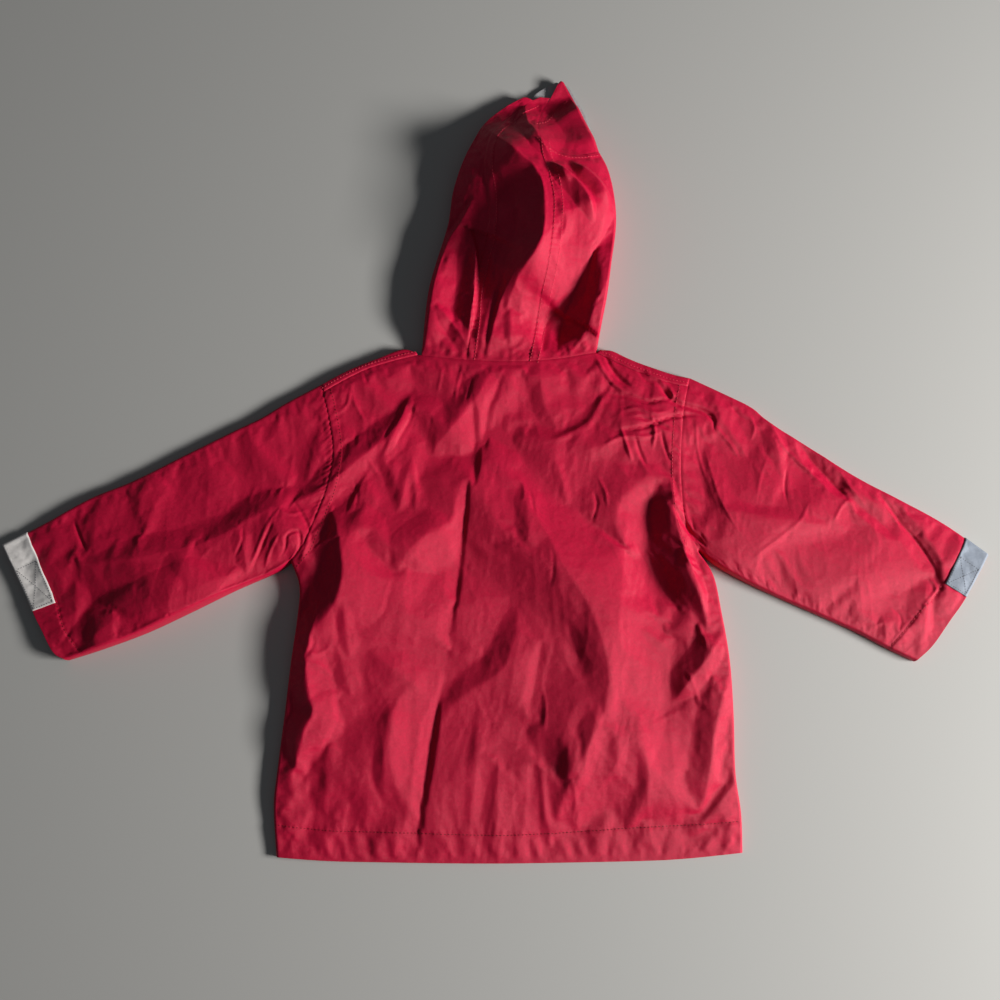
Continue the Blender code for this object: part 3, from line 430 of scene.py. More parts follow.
HOOD_CREST = [
    (6, 122), (22, 156), (38, 176), (46, 198), (47, 223), (45, 244), (38, 261), (26, 274), (13, 288),
    (2, 302), (-9, 318), (-22, 340),
]
HOOD_FOLDS = [
    Fold(85, 140, 24.0, 0.9, HOOD_CREST),
    Fold(27, 60, 10.0, 0.9, HOOD_CREST),
    Fold(28, 44, 7.0, 0.9, [(-13, 64), (-4, 106), (7, 142), (21, 165), (38, 182), (48, 208)]),
    Fold(5, 4, -2.4, 0.9, [(-12, 78), (-7, 106), (0, 136), (8, 156), (14, 172)]),
    Fold(5, 4, 1.6, 0.8, [(-6, 150), (-2, 172), (2, 200)]),
    Fold(8, 25, 8.0, 0.85, [(-67, 82), (-63, 130), (-57, 164), (-46, 198), (-33, 219), (-18, 248)]),
    Fold(18, 4, 6.6, 0.92, [(-27, 92), (-22, 130), (-19, 162), (-19, 190), (-26, 222)]),
    Fold(10, 9, 3.8, 0.85, [(-20, 78), (-28, 99), (-39, 117), (-58, 139)]),
    Fold(6, 7, 1.6, 0.8, [(58, 182), (66, 200), (67, 212), (60, 234)]),
    Fold(5, 7, -2.6, 0.9, [(48, 80), (46, 106), (51, 125), (65, 140), (77, 153)]),
    Fold(44, 24, -13.0, 0.8, [
        (57, 72), (61, 100), (66, 122), (74, 143), (83, 162), (94, 183), (108, 208), (121, 234),
    ]),
    Fold(27, 6, 9.4, 0.85, [(96, 84), (107, 112), (112, 138), (118, 172), (124, 214)]),
    Fold(12, 28, 6.5, 0.9, [(56, 272), (45, 294), (38, 311), (32, 326), (29, 356)]),
    Fold(14, 6, 8.8, 0.95, [(94, 208), (91, 224), (84, 239), (73, 252), (60, 264), (50, 272)]),
    Fold(12, 6, 6.6, 0.9, [(110, 224), (106, 240), (97, 254), (85, 265), (72, 276)]),
    Fold(5, 13, 2.8, 0.9, [(72, 244), (63, 258), (54, 273)]),
    Fold(36, 7, 8.0, 0.85, [(101, 284), (93, 312), (83, 338), (75, 362)]),
    Fold(8, 12, 2.0, 0.7, [(14, 96), (16, 114), (13, 134)]),
]

# Rows of puckers along seams: pitch and depth of the ripples, their reach to the line's left and right, and
# how far they lean along it
Pucker = namedtuple("Pucker", "pitch depth left right lean line")
PUCKERS = [
    Pucker(5.4, 0.5, 1, 12, 0.8, [(-161, 50), (-156, 24), (-153, 2), (-153, -18), (-157, -40), (-165, -66)]),
    Pucker(5.0, 0.6, 12, 1, -0.8, [(177, -66), (174, -41), (174, -12), (176, 14), (180, 44)]),
    Pucker(6.0, 0.25, 4, 4, 0.2, [
        (-192, -347), (-110, -350), (-30, -352), (60, -352), (130, -350), (219, -344),
    ]),
    Pucker(6.0, 0.35, 5, 5, 0.2, [(-405, -145), (-395, -170), (-380, -190)]),
    Pucker(6.0, 0.35, 5, 5, 0.2, [(408, -138), (395, -150), (383, -163), (372, -182)]),
    Pucker(8.0, 0.4, 2, 7, 0.5, [(-155, 60), (-140, 68), (-120, 76), (-100, 82), (-82, 92)]),
]
HOOD_PUCKERS = [
    Pucker(5.5, 0.4, 1, 10, 0.3, [(-27, 86), (-22, 120), (-20, 150), (-14, 178), (-7, 205)]),
    Pucker(5.4, 0.42, 1, 11, 0.2, [
        (32, 86), (38, 110), (43, 140), (50, 170), (54, 200), (55, 230), (51, 255),
    ]),
    Pucker(10.0, 0.5, 11, 2, 0.1, [(-66, 92), (-27, 87), (20, 86), (60, 89), (92, 96)]),
]

# Welts: the cloth over a seam allowance or a hem, on the left of its line, or right if the width is below 0
Welt = namedtuple("Welt", "width rise line")
CUFF_STITCH_LEFT = [(-409, -138), (-405, -145), (-395, -170), (-384, -186), (-375, -196)]
CUFF_STITCH_RIGHT = [(411, -132), (408, -138), (395, -151), (383, -164), (371, -178), (360, -190)]
WELTS = [
    Welt(-8, 0.35, ARMHOLE_LEFT),
    Welt(8, 0.3, ARMHOLE_RIGHT),
    Welt(4, 0.35, SHOULDER_SEAM_LEFT),
    Welt(-4, 0.35, SHOULDER_SEAM_RIGHT),
    Welt(-34, 0.5, CUFF_STITCH_LEFT),
    Welt(34, 0.5, CUFF_STITCH_RIGHT),
]
HOOD_WELTS = [
    Welt(-8, 0.55, HOOD_SEAM_LEFT),
    Welt(-9.5, 0.4, HOOD_SEAM_RIGHT),
    Welt(-5, 0.5, BRIM_SEAM),
]
HEM_STITCH = [
    (-197, -345), (-150, -350), (-75, -352), (0, -354), (60, -352), (120, -348), (180, -345), (219, -342),
]
BRIM_STITCH = [(40, 320), (52, 328), (61, 343), (73, 356)]

# Lines in plan

SAME_POINT = 0.01
STRETCH_POINTS = 40


def smooth(points, pieces=6):
    """A Catmull-Rom curve through the points, as a polyline with this many pieces between two of them."""
    p = np.array(points, float)
    p = np.vstack([2 * p[0] - p[1], p, 2 * p[-1] - p[-2]])
    t = (np.arange(pieces) / pieces)[:, None]
    runs = []
    for a, b, c, d in zip(p, p[1:], p[2:], p[3:]):
        bend = a - 2.5 * b + 2 * c - d / 2
        turn = 1.5 * (b - c) + (d - a) / 2
        runs.append(b + t * (c - a) / 2 + t**2 * bend + t**3 * turn)
    return np.vstack(runs + [p[-2:-1]])


def length_of(line):
    return np.linalg.norm(np.diff(line, axis=0), axis=1).sum()


def at(line, fractions):
    """Points at these fractions of the line's length."""
    steps = np.linalg.norm(np.diff(line, axis=0), axis=1)
    reach = np.concatenate([[0], np.cumsum(steps)]) / steps.sum()
    return np.stack([np.interp(fractions, reach, line[:, k]) for k in range(line.shape[1])], axis=-1)


def joined(*lines):
    """One polyline through lines that follow each other, without repeated points."""
    points = np.vstack(lines)
    keep = np.concatenate([[True], np.linalg.norm(np.diff(points, axis=0), axis=1) > SAME_POINT])
    return points[keep]


def nearest(xy, line):
    """Distance to the line, how far along it the nearest point is (0 to 1), and the side (+1 on the left)."""
    a, d = line[:-1], np.diff(line, axis=0)
    length = np.linalg.norm(d, axis=1)
    start = np.concatenate([[0], np.cumsum(length)[:-1]])
    flat = xy.reshape(-1, 2)
    best = np.zeros(len(flat), int)
    least = np.full(len(flat), np.inf)
    place = np.zeros(len(flat))
    for k in range(len(a)):
        t = np.clip(((flat - a[k]) @ d[k]) / length[k] ** 2, 0, 1)
        gap = np.hypot(flat[:, 0] - a[k, 0] - t * d[k, 0], flat[:, 1] - a[k, 1] - t * d[k, 1])
        closer = gap < least
        least[closer] = gap[closer]
        best[closer] = k
        place[closer] = t[closer]
    off = flat - (a[best] + place[:, None] * d[best])
    side = np.where(d[best, 0] * off[:, 1] - d[best, 1] * off[:, 0] >= 0, 1.0, -1.0)
    along = (start[best] + place * length[best]) / length.sum()
    shape = xy.shape[:-1]
    return least.reshape(shape), along.reshape(shape), side.reshape(shape)


def gap_to(xy, lines):
    """Distance to the nearest of the lines."""
    return np.min([nearest(xy, line)[0] for line in lines], axis=0)


def between(line, start, end):
    """The stretch of a line between the places nearest to two points."""
    first, last = nearest(np.array([start, end], float), line)[1]
    return at(line, np.linspace(first, last, STRETCH_POINTS))


def beside(line, distance):
    """The line moved to its left by a distance."""
    direction = np.gradient(line, axis=0)
    direction /= np.linalg.norm(direction, axis=1, keepdims=True)
    return line + distance * np.stack([-direction[:, 1], direction[:, 0]], axis=1)


def coons(low, high, left, right, corners, across, up):
    """Plan points between the points of four sides, given for these fractions across and up."""
    u = np.asarray(across)[None, :, None]
    v = np.asarray(up)[:, None, None]
    low_left, low_right, high_left, high_right = corners
    bend = (1 - v) * ((1 - u) * low_left + u * low_right) + v * ((1 - u) * high_left + u * high_right)
    return (1 - v) * low[None] + v * high[None] + (1 - u) * left[:, None] + u * right[:, None] - bend


def patch(low, high, left, right, across, up):
    """Plan points between four lines that share corners, as rows up and columns across."""
    corners = (low[0], low[-1], high[0], high[-1])
    return coons(at(low, across), at(high, across), at(left, up), at(right, up), corners, across, up)


def fractions(length, step=GRID):
    """Fractions of a length at an even step, with some more close to both ends."""
    inner = np.linspace(EDGE_ROWS[-1] + step, length - EDGE_ROWS[-1] - step, max(2, int(length / step)))
    places = np.concatenate([[0], EDGE_ROWS, inner, length - np.array(EDGE_ROWS[::-1]), [length]])
    return places / length


FOLDED_EDGES = [
    joined(smooth(SIDE_LEFT), smooth(SLEEVE_LOW_LEFT)),
    joined(smooth(SIDE_RIGHT), smooth(SLEEVE_LOW_RIGHT)),
    joined(smooth(SHOULDER_EDGE_LEFT)[::-1], smooth(SLEEVE_TOP_LEFT)),
    joined(smooth(SHOULDER_EDGE_RIGHT)[::-1], smooth(SLEEVE_TOP_RIGHT)),
]
HOOD_OUTLINE = joined(
    smooth(HOOD_EDGE_LEFT),
    smooth(HOOD_TIP),
    smooth(BRIM_EDGE_RIGHT)[::-1],
    smooth(HOOD_EDGE_RIGHT)[::-1],
)
SEAMS = [
    smooth(line) for line in (ARMHOLE_LEFT, ARMHOLE_RIGHT, SHOULDER_SEAM_LEFT, SHOULDER_SEAM_RIGHT, NECK)
]
HOOD_SEAMS = [smooth(line) for line in (HOOD_SEAM_LEFT, HOOD_SEAM_RIGHT, BRIM_SEAM, BRIM_EDGE_LEFT)]


# Heights of the upper layer

HOOD_PIECES = 16  # pieces between two points of a hood fold's route, where the folds are highest
FOLD_END = 0.3  # share of a fold's length over which it dies away at each end
FOLD_TIP = 0.3  # share of its width that is left there
CREASE_CRISP = 0.8
WELT_END = 0.04
WELT_SLOPE = 1.6
GROOVE = (0.35, 1.1)  # depth and width of the nick along a seam
CUFF_GROOVE = (0.4, 1.3)
HOOD_GROOVE = (0.16, 1.1)

PUCKER_KNOTS = np.arange(200)
PUCKER_DEPTHS = (0.2, 1.0)
PUCKER_WARP = 0.35
PUCKER_START = 50
PUCKER_SEED = 20
HOOD_PUCKER_SEED = 40

HEM_DEPTH = 25.0
RIPPLE_PITCH = 17.0
RIPPLE_DEPTH = 0.5
RIPPLE_LEAN = 0.55
HEM_BAND = 0.45  # how much thicker the hem is below its stitching
HEM_TROUGH = 0.4
HEM_TOP_Y = -300.0  # above the hem and below the sleeves
HEM_FORM_SHARE = 0.25  # share of the folds' height that is left at the hem
HEM_CRUMPLE_SHARE = 0.45


def ease(t):
    t = np.clip(t, 0, 1)
    return t * t * (3 - 2 * t)


def rising(start, share):
    """From a start value, where the share is 0, to 1."""
    return start + (1 - start) * share


def ends_faded(along, end):
    """1 along a line, and down to 0 over this share of it at both ends."""
    return ease(along / end) * ease((1 - along) / end)


def hills(xy, rows):
    total = np.zeros(xy.shape[:-1])
    for hill in rows:
        far = ((xy[..., 0] - hill.x) / hill.across) ** 2 + ((xy[..., 1] - hill.y) / hill.along) ** 2
        total += hill.height * np.exp(-far)
    return total


def along_line(xy, line, reach, height):
    """A height that depends on the distance to a line, the place along it and the side, within its reach."""
    total = np.zeros(xy.shape[:-1])
    low, high = line.min(axis=0) - reach, line.max(axis=0) + reach
    close = ((xy > low) & (xy < high)).all(axis=-1)
    if close.any():
        total[close] = height(*nearest(xy[close], line))
    return total


def fold_height(xy, fold, pieces=6):
    """A ridge or valley with its own slope on each side, which narrows and dies away at both ends."""

    def height(gap, along, side):
        fade = ends_faded(along, FOLD_END)
        width = np.where(side > 0, fold.left, fold.right) * rising(FOLD_TIP, fade)
        t = np.clip(1 - gap / width, 0, 1)
        return fold.height * (ease(t) * (1 - fold.crisp) + t * fold.crisp) * fade

    return along_line(xy, smooth(fold.route, pieces), max(fold.left, fold.right), height)


def crease_height(xy, crease):
    return fold_height(xy, Fold(crease.width, crease.width, crease.height, CREASE_CRISP, crease.route))


def pucker_height(xy, row, seed):
    """Small ripples across a seam, uneven in depth, that lean and fade away from it."""
    line = smooth(row.line)
    random = np.random.default_rng(seed)
    depths = random.uniform(*PUCKER_DEPTHS, len(PUCKER_KNOTS))
    warps = random.uniform(-PUCKER_WARP, PUCKER_WARP, len(PUCKER_KNOTS))

    def height(gap, along, side):
        run = along * length_of(line) + side * gap * row.lean
        fade = ease(1 - gap / np.where(side > 0, row.left, row.right))
        place = run / row.pitch + PUCKER_START
        phase = place + np.interp(place, PUCKER_KNOTS, warps)
        depth = np.interp(place, PUCKER_KNOTS, depths)
        return row.depth * depth * fade * np.sin(2 * np.pi * phase)

    return along_line(xy, line, max(row.left, row.right), height)


def welt_height(xy, welt):
    """The seam allowance that topstitching holds flat under the cloth on one side of a seam."""

    def height(gap, along, side):
        place = gap * side * math.copysign(1, welt.width)
        inside = ease((place + 0.6) / WELT_SLOPE) * ease((abs(welt.width) + 0.8 - place) / WELT_SLOPE)
        return welt.rise * inside * ends_faded(along, WELT_END)

    return along_line(xy, smooth(welt.line), abs(welt.width) + 3, height)


def seam_groove(xy, line, depth, width):
    """The nick where two panels are sewn together."""

    def height(gap, along, side):
        return depth * np.exp(-((gap / width) ** 2))

    return along_line(xy, line, 3 * width, height)


NOISE_GRID = 64
NOISE_SHIFT = (31.3, 17.7)


def lattice_noise(xy, size_x, size_y, seed):
    """Smooth noise between -1 and 1 with its own grain size each way."""
    random = np.random.default_rng(seed)
    grid = random.uniform(-1, 1, (NOISE_GRID, NOISE_GRID))
    x, y = xy[..., 0] / size_x + NOISE_SHIFT[0], xy[..., 1] / size_y + NOISE_SHIFT[1]
    column, row = np.floor(x).astype(int), np.floor(y).astype(int)
    fx, fy = ease(x - column), ease(y - row)

    def corner(j, i):
        return grid[(row + j) % NOISE_GRID, (column + i) % NOISE_GRID]

    low = corner(0, 0) * (1 - fx) + corner(0, 1) * fx
    high = corner(1, 0) * (1 - fx) + corner(1, 1) * fx
    return low * (1 - fy) + high * fy


def turned(xy, degrees):
    """The places in axes turned by this angle."""
    a = math.radians(degrees)
    x, y = xy[..., 0], xy[..., 1]
    return np.stack([x * math.cos(a) + y * math.sin(a), y * math.cos(a) - x * math.sin(a)], axis=-1)


# Creasing of the whole cloth: the way it runs, the width and length of its grain, and its height
Grain = namedtuple("Grain", "degrees across along height")
FORM_GRAIN = [
    Grain(12, 26, 60, 0.7),
    Grain(-22, 17, 44, 0.5),
    Grain(48, 13, 30, 0.35),
    Grain(85, 9, 24, 0.22),
]
FINE_GRAIN = [
    Grain(3, 9, 60, 0.34),
    Grain(-13, 7, 34, 0.24),
    Grain(26, 8, 28, 0.22),
    Grain(-52, 8, 19, 0.15),
    Grain(76, 7, 17, 0.13),
]
GRAIN_BEND = 5
BEND_NOISE = ((37, 41, 91), (43, 35, 92))  # grain sizes and seed of the bend along X and along Y

# How crumpled each place is: most at the shoulders, the neck and the right sleeve's top
CRUMPLED = [
    Hill(140, 30, 60, 45, 0.9),
    Hill(-190, -80, 30, 30, 0.6),
    Hill(-120, 30, 60, 50, 0.3),
    Hill(170, -260, 70, 120, 0.35),
    Hill(260, -10, 90, 50, 0.2),
    Hill(20, -260, 110, 120, 0.3),
]
LEAST_CRUMPLED = 0.3
HOOD_CRUMPLED = 0.6
FINE_CRUMPLED = 0.4  # the fine creasing has this much more


def crumple(xy, grains):
    """Sharp-crested creasing: ridged noise in several directions and sizes, bent a little."""
    bend = np.stack([lattice_noise(xy, *noise) for noise in BEND_NOISE], axis=-1)
    total = np.zeros(xy.shape[:-1])
    for seed, grain in enumerate(grains):
        place = turned(xy + GRAIN_BEND * bend, grain.degrees)
        total += grain.height * (0.5 - np.abs(lattice_noise(place, grain.across, grain.along, seed + 1)))
    return total


def crumple_strength(xy):
    return LEAST_CRUMPLED + hills(xy, CRUMPLED)


def on_body(xy):
    return (xy[..., 0] > BODY_LEFT_X) & (xy[..., 0] < BODY_RIGHT_X)


def above(xy, line):
    """How much higher in Y each place is than a line from left to right."""
    return xy[..., 1] - np.interp(xy[..., 0], line[:, 0], line[:, 1])


def hem_ripples(xy):
    """Leaning ripples of the turned-up hem, between its stitching and its edge."""
    over = above(xy, smooth(HEM))
    inside = ease(over / 5) * ease((HEM_DEPTH - over) / 7)
    run = xy[..., 0] + RIPPLE_LEAN * over
    wave = np.sin(2 * np.pi * (run / RIPPLE_PITCH + 0.5 * lattice_noise(xy, 45, 60, 11)))
    strength = rising(0.5, lattice_noise(xy, 38, 80, 12))
    return np.where(on_body(xy), RIPPLE_DEPTH * inside * wave * strength, 0)


def hem_band(xy):
    """The turned-up hem: thicker below its stitching, which pulls a shallow trough."""
    over = above(xy, smooth(HEM_STITCH))
    band = HEM_BAND * ease(-over / 1.5) - HEM_TROUGH * np.exp(-((over / 1.2) ** 2))
    return np.where(on_body(xy) & (xy[..., 1] < HEM_TOP_Y), band, 0)


def rolled(gap, width):
    """A quarter-round rise from a folded edge: 0 on the edge, 1 from the width inwards."""
    return np.sqrt(1 - (1 - np.clip(gap / width, 0, 1)) ** 2)


def edge_rise(gap, roll, reach, tight):
    """Share of the full height near a folded edge: a tight fold first, then a gentle rise."""
    return tight * rolled(gap, roll) + (1 - tight) * ease(gap / reach)


def lower_layer(xy):
    """Top of the lower layer: the fronts, and their overlap at the centre."""
    first = LAP_START - PLACKET_BEFORE
    last = LAP_END + PLACKET_AFTER + PLACKET_RAMP
    middle, half = (first + last) / 2, (last - first) / 2
    over = ease((half - np.abs(xy[..., 0] - middle)) / PLACKET_RAMP)
    over = over * ease((PLACKET_TOP_Y + PLACKET_FADE - xy[..., 1]) / PLACKET_FADE)
    return LOWER_CLOTH + over * (PLACKET_LIFT + LIE_GAP + LOWER_CLOTH)


def body_floor(xy):
    """The lowest that the upper layer's outer side can lie."""
    return lower_layer(xy) + LIE_GAP + CLOTH


def body_form(xy):
    """Outer height of the back and of the sleeves' upper layer, before the cloth settles."""
    plateau = PLATEAU + hills(xy, HILLS)
    for fold in BODY_FOLDS:
        plateau += fold_height(xy, fold)
    low = HEM_PLATEAU + hills(xy, [HEM_MIDDLE])
    lift = np.where(on_body(xy), ease((xy[..., 1] - HEM_START) / HEM_RISE), 1.0)
    plateau = low + (plateau - low) * rising(HEM_FORM_SHARE, lift)
    for crease in CREASES:
        plateau += crease_height(xy, crease)
    plateau += crumple(xy, FORM_GRAIN) * crumple_strength(xy) * rising(HEM_CRUMPLE_SHARE, lift)
    rise = edge_rise(gap_to(xy, FOLDED_EDGES), ROLL, REACH, TIGHT_SHARE + hills(xy, FULL_EDGES))
    return np.maximum(EDGE_HEIGHT + (plateau - EDGE_HEIGHT) * rise, body_floor(xy))


def body_detail(xy):
    """Sewing lines, hem and small puckers on the settled cloth."""
    total = hem_ripples(xy) + hem_band(xy)
    total += crumple(xy, FINE_GRAIN) * (FINE_CRUMPLED + crumple_strength(xy))
    for number, row in enumerate(PUCKERS):
        total += pucker_height(xy, row, PUCKER_SEED + number)
    for line in SEAMS:
        total -= seam_groove(xy, line, *GROOVE)
    for line in (CUFF_STITCH_LEFT, CUFF_STITCH_RIGHT):
        total -= seam_groove(xy, smooth(line), *CUFF_GROOVE)
    for welt in WELTS:
        total += welt_height(xy, welt)
    return total * rolled(gap_to(xy, FOLDED_EDGES), ROLL)


def body_height(xy):
    return body_form(xy) + body_detail(xy)


def hood_floor(xy):
    return np.full(xy.shape[:-1], LOWER_CLOTH + LIE_GAP + CLOTH)


def hood_form(xy):
    """Outer height of the hood, which meets the body's height at the neck."""
    plateau = HOOD_PLATEAU + hills(xy, HOOD_HILLS)
    for fold in HOOD_FOLDS:
        plateau += fold_height(xy, fold, HOOD_PIECES)
    plateau += crumple(xy, FORM_GRAIN) * HOOD_CRUMPLED
    gap = nearest(xy, HOOD_OUTLINE)[0]
    height = EDGE_HEIGHT + (plateau - EDGE_HEIGHT) * edge_rise(gap, HOOD_ROLL, HOOD_REACH, HOOD_TIGHT_SHARE)
    neck_gap = nearest(xy, smooth(NECK))[0]
    height = height + (body_form(xy) - height) * ease(1 - neck_gap / NECK_BLEND)
    return np.maximum(height, hood_floor(xy))


def hood_detail(xy):
    """Sewing lines and small puckers on the settled hood."""
    total = crumple(xy, FINE_GRAIN)
    for number, row in enumerate(HOOD_PUCKERS):
        total += pucker_height(xy, row, HOOD_PUCKER_SEED + number)
    for line in HOOD_SEAMS:
        total -= seam_groove(xy, line, *HOOD_GROOVE)
    for welt in HOOD_WELTS:
        total += welt_height(xy, welt)
    total -= seam_groove(xy, smooth(NECK), *GROOVE)
    return total * rolled(nearest(xy, HOOD_OUTLINE)[0], HOOD_ROLL)


# Materials


def new_material(name, values):
    """A material whose Principled shader has these values, and that shader."""
    material = bpy.data.materials.new(name)
    material.use_nodes = True
    shader = material.node_tree.nodes["Principled BSDF"]
    for socket, value in values.items():
        shader.inputs[socket].default_value = value
    return material, shader


def fabric(name, colour, deep, roughness, weave, weave_depth, sheen=0.0):
    """Woven cloth: a plain weave in relief, slight unevenness of colour, and fine crush marks."""
    values = {
        "Roughness": roughness,
        "Specular IOR Level": 0.26,
        "Sheen Weight": sheen,
        "Sheen Roughness": 0.45,
    }
    material, shader = new_material(name, values)
    nodes, links = material.node_tree.nodes, material.node_tree.links

    def node(kind, **inputs):
        """A new node, with a value or the output of another node on each of these inputs."""
        made = nodes.new("ShaderNode" + kind)
        for socket, given in inputs.items():
            if isinstance(given, bpy.types.NodeSocket):
                links.new(given, made.inputs[socket])
            else:
                made.inputs[socket].default_value = given
        return made

    place = node("TexCoord").outputs["Object"]
    blotch = node("TexNoise", Vector=place, Scale=22, Detail=5).outputs["Fac"]
    slub = node("TexNoise", Vector=place, Scale=420, Detail=2).outputs["Fac"]
    shade = node("Mix", Factor=0.5, A=blotch, B=slub).outputs["Result"]
    ramp = node("ValToRGB", Fac=shade)
    for stop, position, tone in zip(ramp.color_ramp.elements, (0.36, 0.64), (deep, colour)):
        stop.position = position
        stop.color = tone
    links.new(ramp.outputs["Color"], shader.inputs["Base Color"])

    cross = node("Math")
    cross.operation = "MULTIPLY"
    for axis, socket in zip(("X", "Y"), cross.inputs):
        wave = node("TexWave", Vector=place, Scale=weave, Distortion=0.6, Detail=1)
        wave.bands_direction = axis
        links.new(wave.outputs["Fac"], socket)
    fine = node("TexNoise", Vector=place, Scale=260, Detail=4).outputs["Fac"]
    stretch = node("Mapping", Vector=place, Scale=(1.0, 0.55, 1.0), Rotation=(0, 0, 0.3))
    wrinkle = node("TexNoise", Vector=stretch.outputs["Vector"], Scale=38, Detail=3)
    wrinkle.noise_type = "RIDGED_MULTIFRACTAL"
    normal = node("Bump", Strength=0.5, Distance=0.0005, Height=wrinkle.outputs["Fac"]).outputs["Normal"]
    normal = node("Bump", Strength=0.35, Distance=0.0006, Height=fine, Normal=normal).outputs["Normal"]
    relief = node("Bump", Strength=0.5, Distance=weave_depth, Height=cross.outputs["Value"], Normal=normal)
    links.new(relief.outputs["Normal"], shader.inputs["Normal"])
    return material


RED = fabric("red_nylon", (0.63, 0.0025, 0.048, 1), (0.52, 0.002, 0.038, 1), 0.5, 1500, 0.00012)
# Both cuff tabs are the same grey reflective tape. The left copy is painted far paler: a painted highlight of
# the reflective tape, which also makes up for the weaker light on that side. The right copy is darker and
# bluer.
TAPE_HIGHLIT = fabric("tape_grey_painted_highlight", (0.90, 0.86, 0.84, 1), (0.78, 0.745, 0.725, 1), 0.5, 900, 0.0002)
TAPE_COOL = fabric("tape_cool_grey", (0.275, 0.31, 0.375, 1), (0.235, 0.268, 0.33, 1), 0.5, 900, 0.0002)
LINING_GREY = fabric("grey_lining", (0.54, 0.53, 0.55, 1), (0.44, 0.43, 0.45, 1), 0.8, 700, 0.0003, 0.2)
SNAP_RED = fabric("snap_cap", (0.34, 0.01, 0.025, 1), (0.26, 0.006, 0.018, 1), 0.3, 600, 0.00003)
# One red thread in two copies: a darker one that is painted shade and a lighter one that is a painted
# highlight.
THREAD_SHADED = fabric("red_thread_painted_shade", (0.27, 0.002, 0.016, 1), (0.2, 0.001, 0.01, 1), 0.6, 2600, 0.0001)
THREAD_LIT = fabric("red_thread_painted_highlight", (0.78, 0.06, 0.11, 1), (0.66, 0.03, 0.07, 1), 0.55, 2600, 0.0001)
THREAD_GREY = fabric("grey_thread", (0.13, 0.13, 0.15, 1), (0.08, 0.08, 0.09, 1), 0.6, 2600, 0.0001)


# Shells


def placed(name, data):
    """A new object of the scene with this data."""
    made = bpy.data.objects.new(name, data)
    bpy.context.scene.collection.objects.link(made)
    return made


def mesh_object(name, points, faces, material=None):
    """A smooth mesh object, or a bare one for the simulation if no material is given."""
    data = bpy.data.meshes.new(name)
    data.from_pydata((points * MM).tolist(), [], faces)
    if material:
        data.materials.append(material)
        data.shade_smooth()
    return placed(name, data)


def upright(plan, height):
    return np.concatenate([plan, np.asarray(height)[..., None]], axis=-1)


def numbered(grid, first=0):
    """The number of each point of a grid, counted on from the first one."""
    rows, columns = grid.shape[:2]
    return first + np.arange(rows * columns).reshape(rows, columns)


def quads(low, high):
    """The faces between each row of point numbers and the row above it."""
    return np.stack([low[:, :-1], low[:, 1:], high[:, 1:], high[:, :-1]], axis=-1).reshape(-1, 4).tolist()


def shell(name, grid, material, thickness=CLOTH, keep=None):
    """A sheet of cloth through a grid of points, its outer side up, thickened inwards."""
    number = numbered(grid)
    faces = np.array(quads(number[:-1], number[1:]))
    if keep is not None:
        faces = faces[keep.ravel()]
    used, faces = np.unique(faces, return_inverse=True)
    made = mesh_object(name, grid.reshape(-1, 3)[used], faces.reshape(-1, 4).tolist(), material)
    solid = made.modifiers.new("thickness", "SOLIDIFY")
    solid.thickness = thickness * MM
    solid.offset = -1
    return made


def spaced(count, ring):
    """Every third number up to the count, with the last one unless the row closes on itself."""
    picked = np.arange(0, count if ring else count - 1, INNER_STEP)
    return picked if ring else np.append(picked, count - 1)


def fine_shell(name, grid, material, ring=False):
    """A sheet of cloth through a grid of points: a fine outer side, a coarser inner one, and the rim."""
    rows, columns = grid.shape[:2]
    if ring:
        along = np.roll(grid, -1, axis=1) - np.roll(grid, 1, axis=1)
    else:
        along = np.gradient(grid, axis=1)
    normal = np.cross(along, np.gradient(grid, axis=0))
    normal /= np.linalg.norm(normal, axis=-1, keepdims=True) + 1e-9
    pick_rows, pick_columns = spaced(rows, False), spaced(columns, ring)
    picked = np.ix_(pick_rows, pick_columns)
    inner = grid[picked] - CLOTH * normal[picked]

    number, under = numbered(grid), numbered(inner, rows * columns)
    if ring:
        number = np.concatenate([number, number[:, :1]], axis=1)
        under = np.concatenate([under, under[:, :1]], axis=1)
        pick_columns = np.append(pick_columns, columns)
    faces = quads(number[:-1], number[1:]) + quads(under[1:], under[:-1])
    for k, (a, b) in enumerate(zip(pick_columns, pick_columns[1:])):
        faces.append([*number[0, a : b + 1][::-1].tolist(), int(under[0, k]), int(under[0, k + 1])])
        faces.append([*number[-1, a : b + 1].tolist(), int(under[-1, k + 1]), int(under[-1, k])])
    if not ring:
        for k, (a, b) in enumerate(zip(pick_rows, pick_rows[1:])):
            faces.append([*number[a : b + 1, 0].tolist(), int(under[k + 1, 0]), int(under[k, 0])])
            faces.append([*number[a : b + 1, -1][::-1].tolist(), int(under[k, -1]), int(under[k + 1, -1])])
    return mesh_object(name, np.concatenate([grid.reshape(-1, 3), inner.reshape(-1, 3)]), faces, material)


# Settling of the cloth

SIM_STEP = 3.6  # spacing of the points that move
SIM_FRAMES = 20
SIM_HELD = 2  # rows of points that are held along each side
SIM_CLOTH = {
    "quality": 6,
    "mass": 0.02,
    "tension_stiffness": 20,
    "compression_stiffness": 20,
    "shear_stiffness": 5,
    "bending_model": "ANGULAR",
    "bending_damping": 0.5,
    "air_damping": 2,
}

# What a panel is draped with: its heights, how far it is cut longer than its form, and its bending stiffness
Drape = namedtuple("Drape", "form detail floor excess stiffness")
BODY_DRAPE = Drape(body_form, body_detail, body_floor, 0.006, 2.0)
HOOD_DRAPE = Drape(hood_form, hood_detail, hood_floor, 0.005, 2.0)


